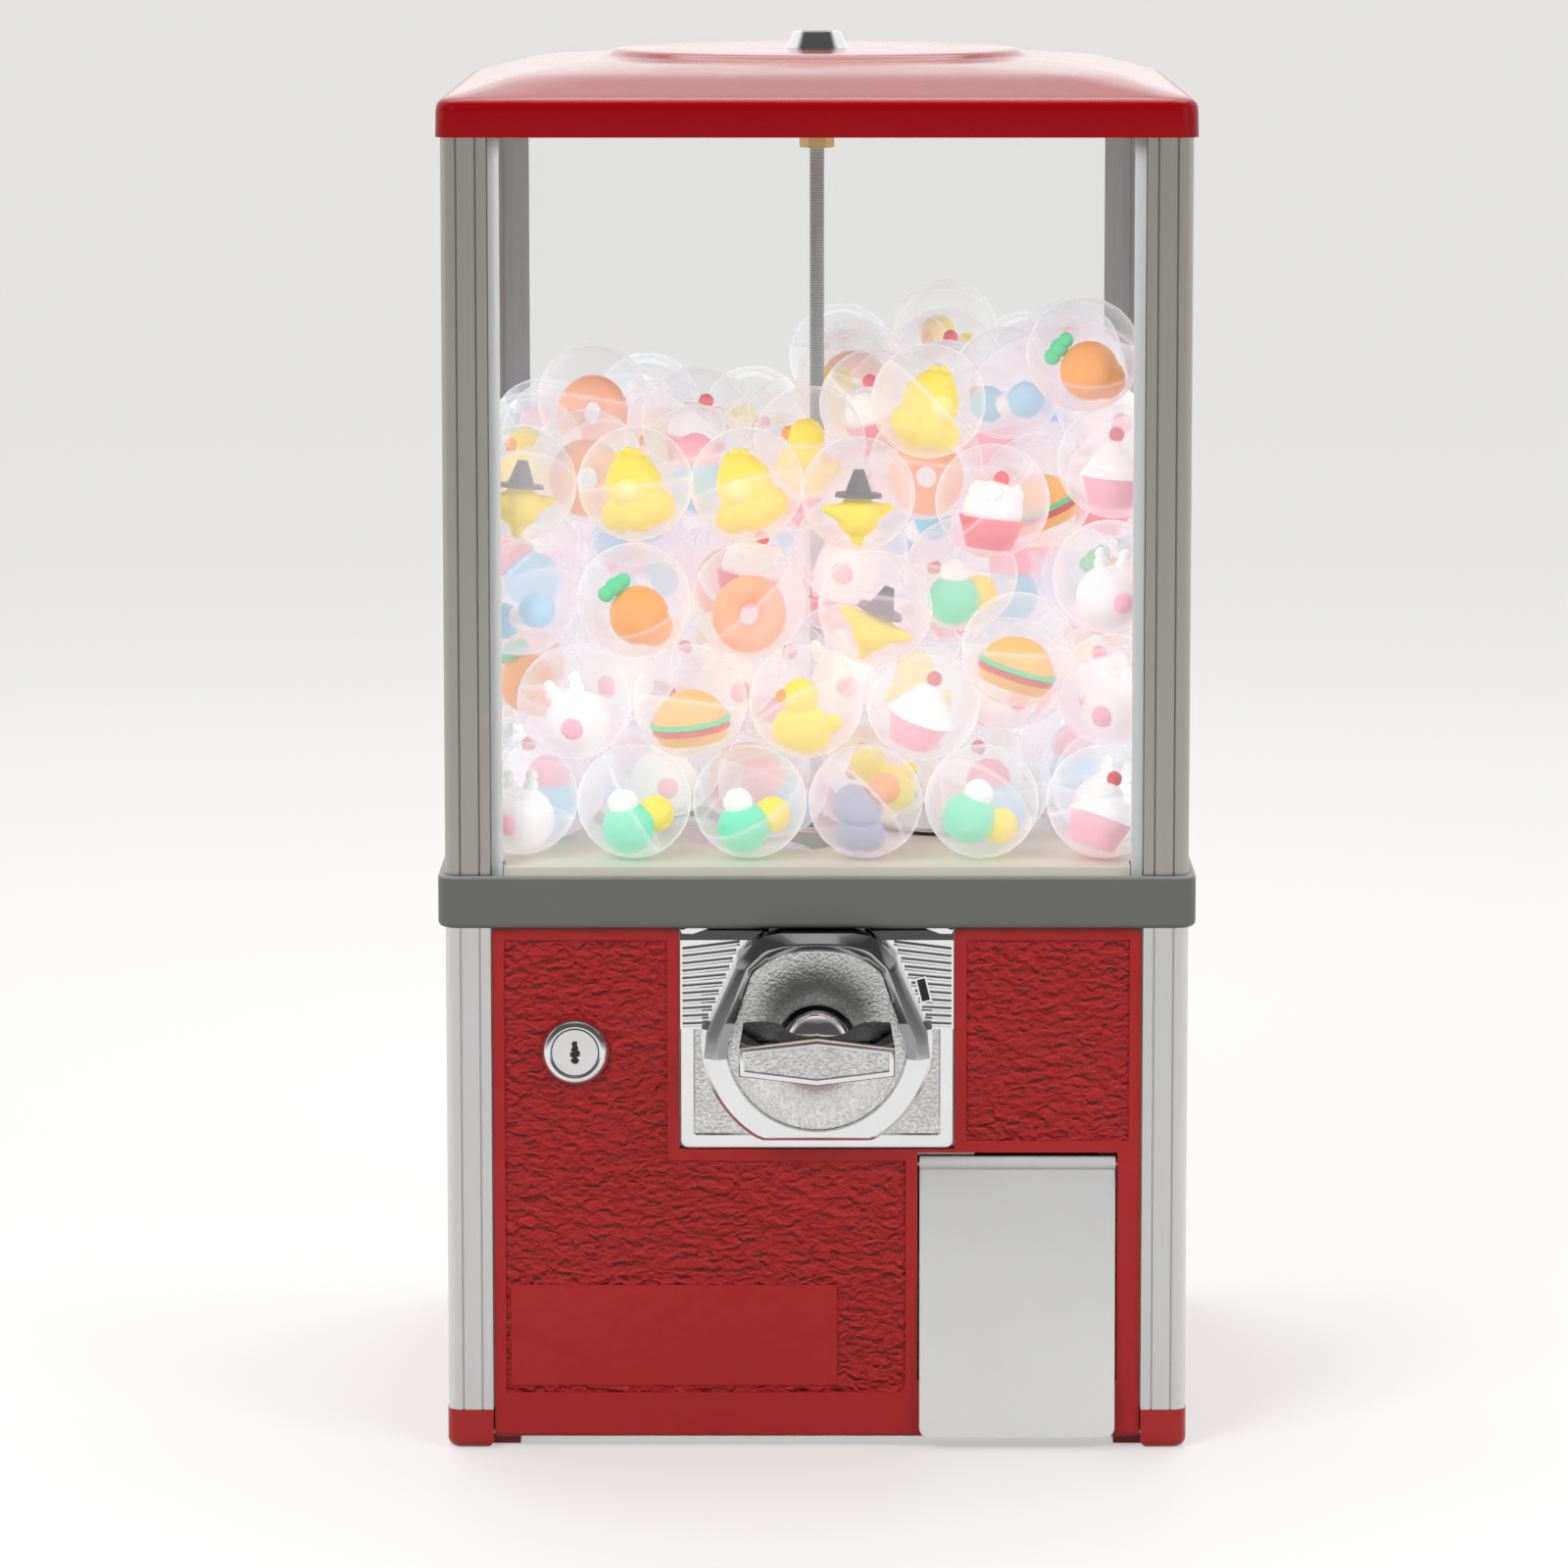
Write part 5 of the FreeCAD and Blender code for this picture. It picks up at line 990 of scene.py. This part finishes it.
def cap(bm, z, base, height):
    """Slice of a ball that stands on its flat side."""
    radius = (base * base + height * height) / (2 * height)
    edge = math.asin((radius - height) / radius)
    angles = [edge + (math.pi / 2 - 0.04 - edge) * k / 6 for k in range(7)]
    profile = [(radius * math.cos(a), height + radius * (math.sin(a) - 1)) for a in angles]
    return turned_form(bm, profile, 0, z)


def cone(bm, z, low, high, height, lean=0):
    return turned_form(bm, [(low, 0), (high, height)], lean, z)


def hoop(bm, radius, thick):
    """Ring about Y."""
    loops = []
    for a in round_angles(32):
        reaches = [(radius + thick * math.cos(b), thick * math.sin(b)) for b in round_angles(12)]
        loops.append([Vector((r * math.cos(a), y, r * math.sin(a))) * MM for r, y in reaches])
    rows = [[bm.verts.new(p) for p in loop] for loop in loops]
    for i, row in enumerate(rows):
        following = rows[(i + 1) % len(rows)]
        for j in range(len(row)):
            m = (j + 1) % len(row)
            bm.faces.new((row[j], row[m], following[m], following[j]))
    return [v for row in rows for v in row]


YELLOW = screen(255, 226, 24)
PALE_YELLOW = screen(255, 238, 120)
ORANGE = screen(252, 158, 44)
BUN = screen(252, 186, 72)
GREEN = screen(54, 212, 140)
RED = screen(220, 50, 44)
CORAL = screen(240, 92, 106)
PINK = screen(254, 166, 184)
MINT = screen(92, 230, 182)
WHITE = screen(252, 249, 247)
SLATE = screen(96, 96, 104)
STONE = screen(150, 160, 184)
PEACH = screen(250, 172, 126)
SKY = screen(150, 216, 242)

TOYS = {
    "blob": ((YELLOW, ball, 0, 0, 3, 12), (YELLOW, ball, 0, 0, 7, 10), (YELLOW, ball, -9, -2, -8, 7.5),
             (YELLOW, ball, 9, -2, -8, 7.5), (YELLOW, ball, 0, -4, -9, 8), (YELLOW, ball, 0, 6, -8, 9),
             (PALE_YELLOW, ball, 0, -7, 2, 6.5), (YELLOW, ball, -3, 0, 16, 2.2),
             (YELLOW, ball, 1, 0, 17, 2.2), (YELLOW, ball, 4.5, 0, 15.5, 2.2)),
    "capped_star": ((YELLOW, ball, 0, 0, -3, 9), (YELLOW, cone, -3, 7, 1.2, 17, -78),
                    (YELLOW, cone, -3, 7, 1.2, 17, 78), (YELLOW, cone, -3, 7, 1.5, 13, 180),
                    (YELLOW, cone, -3, 8, 5, 9), (SLATE, cone, 5, 10, 9.5, 1.8),
                    (SLATE, cone, 6, 6, 2.2, 10.5)),
    "carrot": ((ORANGE, ball, 2, 0, -2, 12.5), (ORANGE, ball, 8, 0, -7, 8.5),
               (GREEN, ball, -8.5, 0, 10, 4), (GREEN, ball, -12, 0, 7, 3.6),
               (GREEN, ball, -5, 0, 12.5, 3.4)),
    "burger": ((BUN, cap, -0.6, 16, 12), (GREEN, cone, -2.4, 17.2, 16.6, 2),
               (RED, cone, -5.4, 16.4, 16.2, 3.2), (BUN, cone, -10, 14, 16, 4.8)),
    "sundae": ((CORAL, cone, -15, 9.5, 14, 13), (WHITE, ball, 0, 0, 1, 12.6), (WHITE, ball, 8, 0, 8, 5),
               (WHITE, ball, -4, -6.9, 8, 5), (WHITE, ball, -4, 6.9, 8, 5),
               (CORAL, ball, 2, -1, 14.5, 3.4)),
    "mint_pair": ((MINT, ball, -5, -2, -4, 11), (YELLOW, ball, 9, 1, -4, 8),
                  (WHITE, ball, -4, -3, 7, 6.4)),
    "rabbit": ((WHITE, ball, 0, 0, -4, 13.8), (WHITE, ball, -5.2, 0, 10, 3.4),
               (WHITE, ball, -5.8, 0, 14.2, 2.8), (WHITE, ball, 5.2, 0, 10, 3.4),
               (WHITE, ball, 5.8, 0, 14.2, 2.8), (PINK, ball, 0, -11, -5, 5.2)),
    "duck": ((YELLOW, ball, 2, 0, -6, 10.5), (YELLOW, ball, -4, 0, -7, 9),
             (YELLOW, ball, -3.5, -2, 7, 8.2), (ORANGE, ball, -10.5, -5, 6, 3.2),
             (YELLOW, ball, 12, 1, -1, 4)),
    "stones": ((STONE, ball, -4, -3, 3, 9), (STONE, ball, 1, -3, 1, 8), (STONE, ball, -5, -2, -9, 8),
               (STONE, ball, 2, -2, -9.5, 7.5), (PEACH, ball, 8, 2, 10, 7)),
    "cupcake": ((PINK, cone, -16, 9.5, 13.5, 13), (WHITE, cap, -3.4, 14.5, 8), (WHITE, cap, 1.6, 11, 7),
                (WHITE, cap, 6, 7, 6), (RED, ball, 0, 0, 14, 3.4)),
    "two_tone": ((SKY, ball, 2, -1, -5, 12), (PINK, ball, -3, 0, 7, 9.4)),
    "doughnut": ((PEACH, hoop, 10.5, 6),),
    "bow": ((SKY, ball, -9, 0, 1, 8), (SKY, ball, 9, 0, 1, 8), (WHITE, ball, 0, -1, 0, 5)),
}


def toy_turn(centre):
    """Turn of a toy as the CAD sets it: it varies with the place of its capsule."""
    x, z = centre[0] / MM, centre[2] / MM
    lean = math.radians(22) * math.sin(0.11 * x + 0.05 * z)
    spin = math.radians(30) * math.sin(0.07 * z - 0.09 * x)
    return Matrix.Rotation(spin, 3, "Z") @ Matrix.Rotation(lean, 3, "Y")


def toy_shelf():
    """Collection of one mesh for each kind of toy, named in order."""
    shelf = bpy.data.collections.new("toy_shelf")
    for k, forms in enumerate(TOYS.values()):
        bm = bmesh.new()
        layer = bm.verts.layers.float_color.new("toy_colour")
        for colour, form, *sizes in forms:
            for v in form(bm, *sizes):
                v[layer] = colour
        mesh = bpy.data.meshes.new("toy_%02d" % k)
        bm.to_mesh(mesh)
        bm.free()
        shelf.objects.link(bpy.data.objects.new(mesh.name, mesh))
    return shelf


def found_toys(shelf, places):
    """Kind, place and turn of every toy of the CAD pile, by the size of its box."""
    shapes = [np.array([v.co for v in toy.data.vertices]) for toy in shelf.objects]
    middles = np.array([p for p, _ in places])
    corners, triangles = mesh_arrays("capsule_toys")
    kinds, spots, turns = [], [], []
    for group in islands(corners, triangles):
        own = corners[triangles[group].ravel()]
        low, high = own.min(0), own.max(0)
        nearest = np.argmin(np.linalg.norm(middles - (low + high) / 2, axis=1))
        turn = toy_turn(middles[nearest])
        boxes = []
        for shape in shapes:
            swung = shape @ np.array(turn).T
            boxes.append((swung.min(0), swung.max(0)))
        misfits = [np.abs(top - bottom - (high - low)).sum() for bottom, top in boxes]
        kind = misfits.index(min(misfits))
        kinds.append(kind)
        spots.append((low + high - boxes[kind][0] - boxes[kind][1]) / 2)
        turns.append(turn.to_euler())
    return kinds, spots, turns


def toys_tree():
    """Node tree: on every point the toy of its kind, picked from the shelf."""
    tree, given = start_tree("toys_on_points", (("Finish", "Material"), ("Toys", "Collection")))
    pick = point_value(tree, "kind", "INT")
    shelf = add(tree, "GeometryNodeCollectionInfo",
                {"Collection": given["Toys"], "Separate Children": True})
    return end_tree(tree, given, shelf, {"Pick Instance": True, "Instance Index": pick})


def capsule_toys(places):
    shelf = toy_shelf()
    kinds, spots, turns = found_toys(shelf, places)
    points = point_cloud("toy_points", spots, turns, kind=kinds)
    piece = grown("toys", toys_tree(), {"Finish": toy_colours, "Toys": shelf}, points)
    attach(piece, "cabinet")
    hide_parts("capsule_toys")
    for toy in list(shelf.objects):
        bpy.data.objects.remove(toy)
    bpy.data.collections.remove(shelf)


turn_handle()
coin_faceplate()
panel_lock()
key_slot()
lid_shell()
capsule_spots = capsule_places("capsule_domes")
capsule_shells(capsule_spots)
capsule_toys(capsule_spots)


# Studio

def studio_floor():
    """Pale floor that shows as paper to the camera and in reflections, and keeps the shadow."""
    reach = 40.0
    corners = [(-reach, -reach, 0), (reach, -reach, 0), (reach, reach, 0), (-reach, reach, 0)]
    mesh = bpy.data.meshes.new("studio_floor")
    mesh.from_pydata(corners, [], [(0, 1, 2, 3)])
    floor = placed("studio_floor", mesh)
    made, tree, shader = start_material("floor_paper")
    path = add(tree, "ShaderNodeLightPath").outputs
    seen = math_node(tree, "ADD", math_node(tree, "ADD", path["Is Camera Ray"], path["Is Glossy Ray"]),
                     path["Is Transmission Ray"], clamp=True)
    feed(tree, shader, {
        "Base Color": (0.42, 0.417, 0.412, 1), "Roughness": 0.6, "Specular IOR Level": 0.2,
        "Emission Color": (1.0, 0.99, 0.98, 1),
        "Emission Strength": math_node(tree, "MULTIPLY", seen, 0.46)})
    mesh.materials.append(made)


def sky_ramp(tree, height, levels):
    """Grey levels by height; the first two are the ends of the ramp."""
    ramp = add(tree, "ShaderNodeValToRGB", {0: height})
    stops = ramp.color_ramp.elements
    for k, (position, level) in enumerate(levels):
        stop = stops[k] if k < 2 else stops.new(position)
        stop.position = position
        stop.color = (level, level, level, 1)
    return ramp.outputs[0]


def studio_world():
    """Soft room: bright behind the machine, dark in front of it above the horizon."""
    world = bpy.data.worlds.new("studio")
    bpy.context.scene.world = world
    world.use_nodes = True
    tree = world.node_tree
    place = add(tree, "ShaderNodeTexCoord").outputs["Generated"]
    way = add(tree, "ShaderNodeSeparateXYZ", {0: place}).outputs
    rear = sky_ramp(tree, way["Z"], ((0.0, 1.2), (1.0, 0.9), (0.5, 1.2), (0.75, 0.6)))
    front = sky_ramp(tree, way["Z"], ((0.0, 0.6), (1.0, 0.5), (0.05, 0.42), (0.2, 0.12),
                                      (0.85, 0.1), (0.96, 0.3)))
    ahead = ranged(tree, way["Y"], 0.1, -0.25)
    feed(tree, tree.nodes["Background"], {"Color": mixed(tree, ahead, rear, front), "Strength": 0.95})


def softbox(name, place, target, size, power, mirrored=True):
    """Rectangular lamp, aimed at a target; one that isn't mirrored makes no highlight."""
    lamp = bpy.data.lights.new(name, "AREA")
    lamp.shape = "RECTANGLE"
    lamp.size, lamp.size_y = size
    lamp.energy = power
    holder = placed(name, lamp)
    holder.location = place
    holder.rotation_euler = (Vector(target) - Vector(place)).to_track_quat("-Z", "Y").to_euler()
    holder.visible_camera = False
    holder.visible_glossy = mirrored


def studio_camera():
    """Long lens in front of the machine, a little above its middle and looking slightly down."""
    distance, front_y = 2.8, -0.139
    aim_height, rise = 0.58, 0.04
    pitch = math.radians(7.66)
    view = bpy.data.cameras.new("camera")
    view.sensor_width = 36.0
    view.lens = 156.4
    view.shift_x = -0.021
    view.shift_y = -0.05
    view.clip_end = 100.0
    camera = placed("camera", view)
    camera.location = (0.0, front_y - distance, aim_height + rise * distance)
    camera.rotation_euler = (math.radians(90) - pitch, 0.0, 0.0)
    bpy.context.scene.camera = camera


studio_floor()
studio_world()
softbox("key_light", (-1.3, -1.9, 1.9), (0, 0, 0.3), (1.4, 1.4), 46, False)
softbox("fill_light", (1.7, -1.6, 1.3), (0, 0, 0.3), (1.2, 1.6), 26, False)
softbox("top_light", (0, 0.7, 2.3), (0, 0.1, 0.3), (1.8, 1.6), 27)
studio_camera()
scene = bpy.context.scene
scene.view_settings.view_transform = "Standard"
scene.cycles.max_bounces = 16
scene.cycles.diffuse_bounces = 6
scene.cycles.transparent_max_bounces = 64
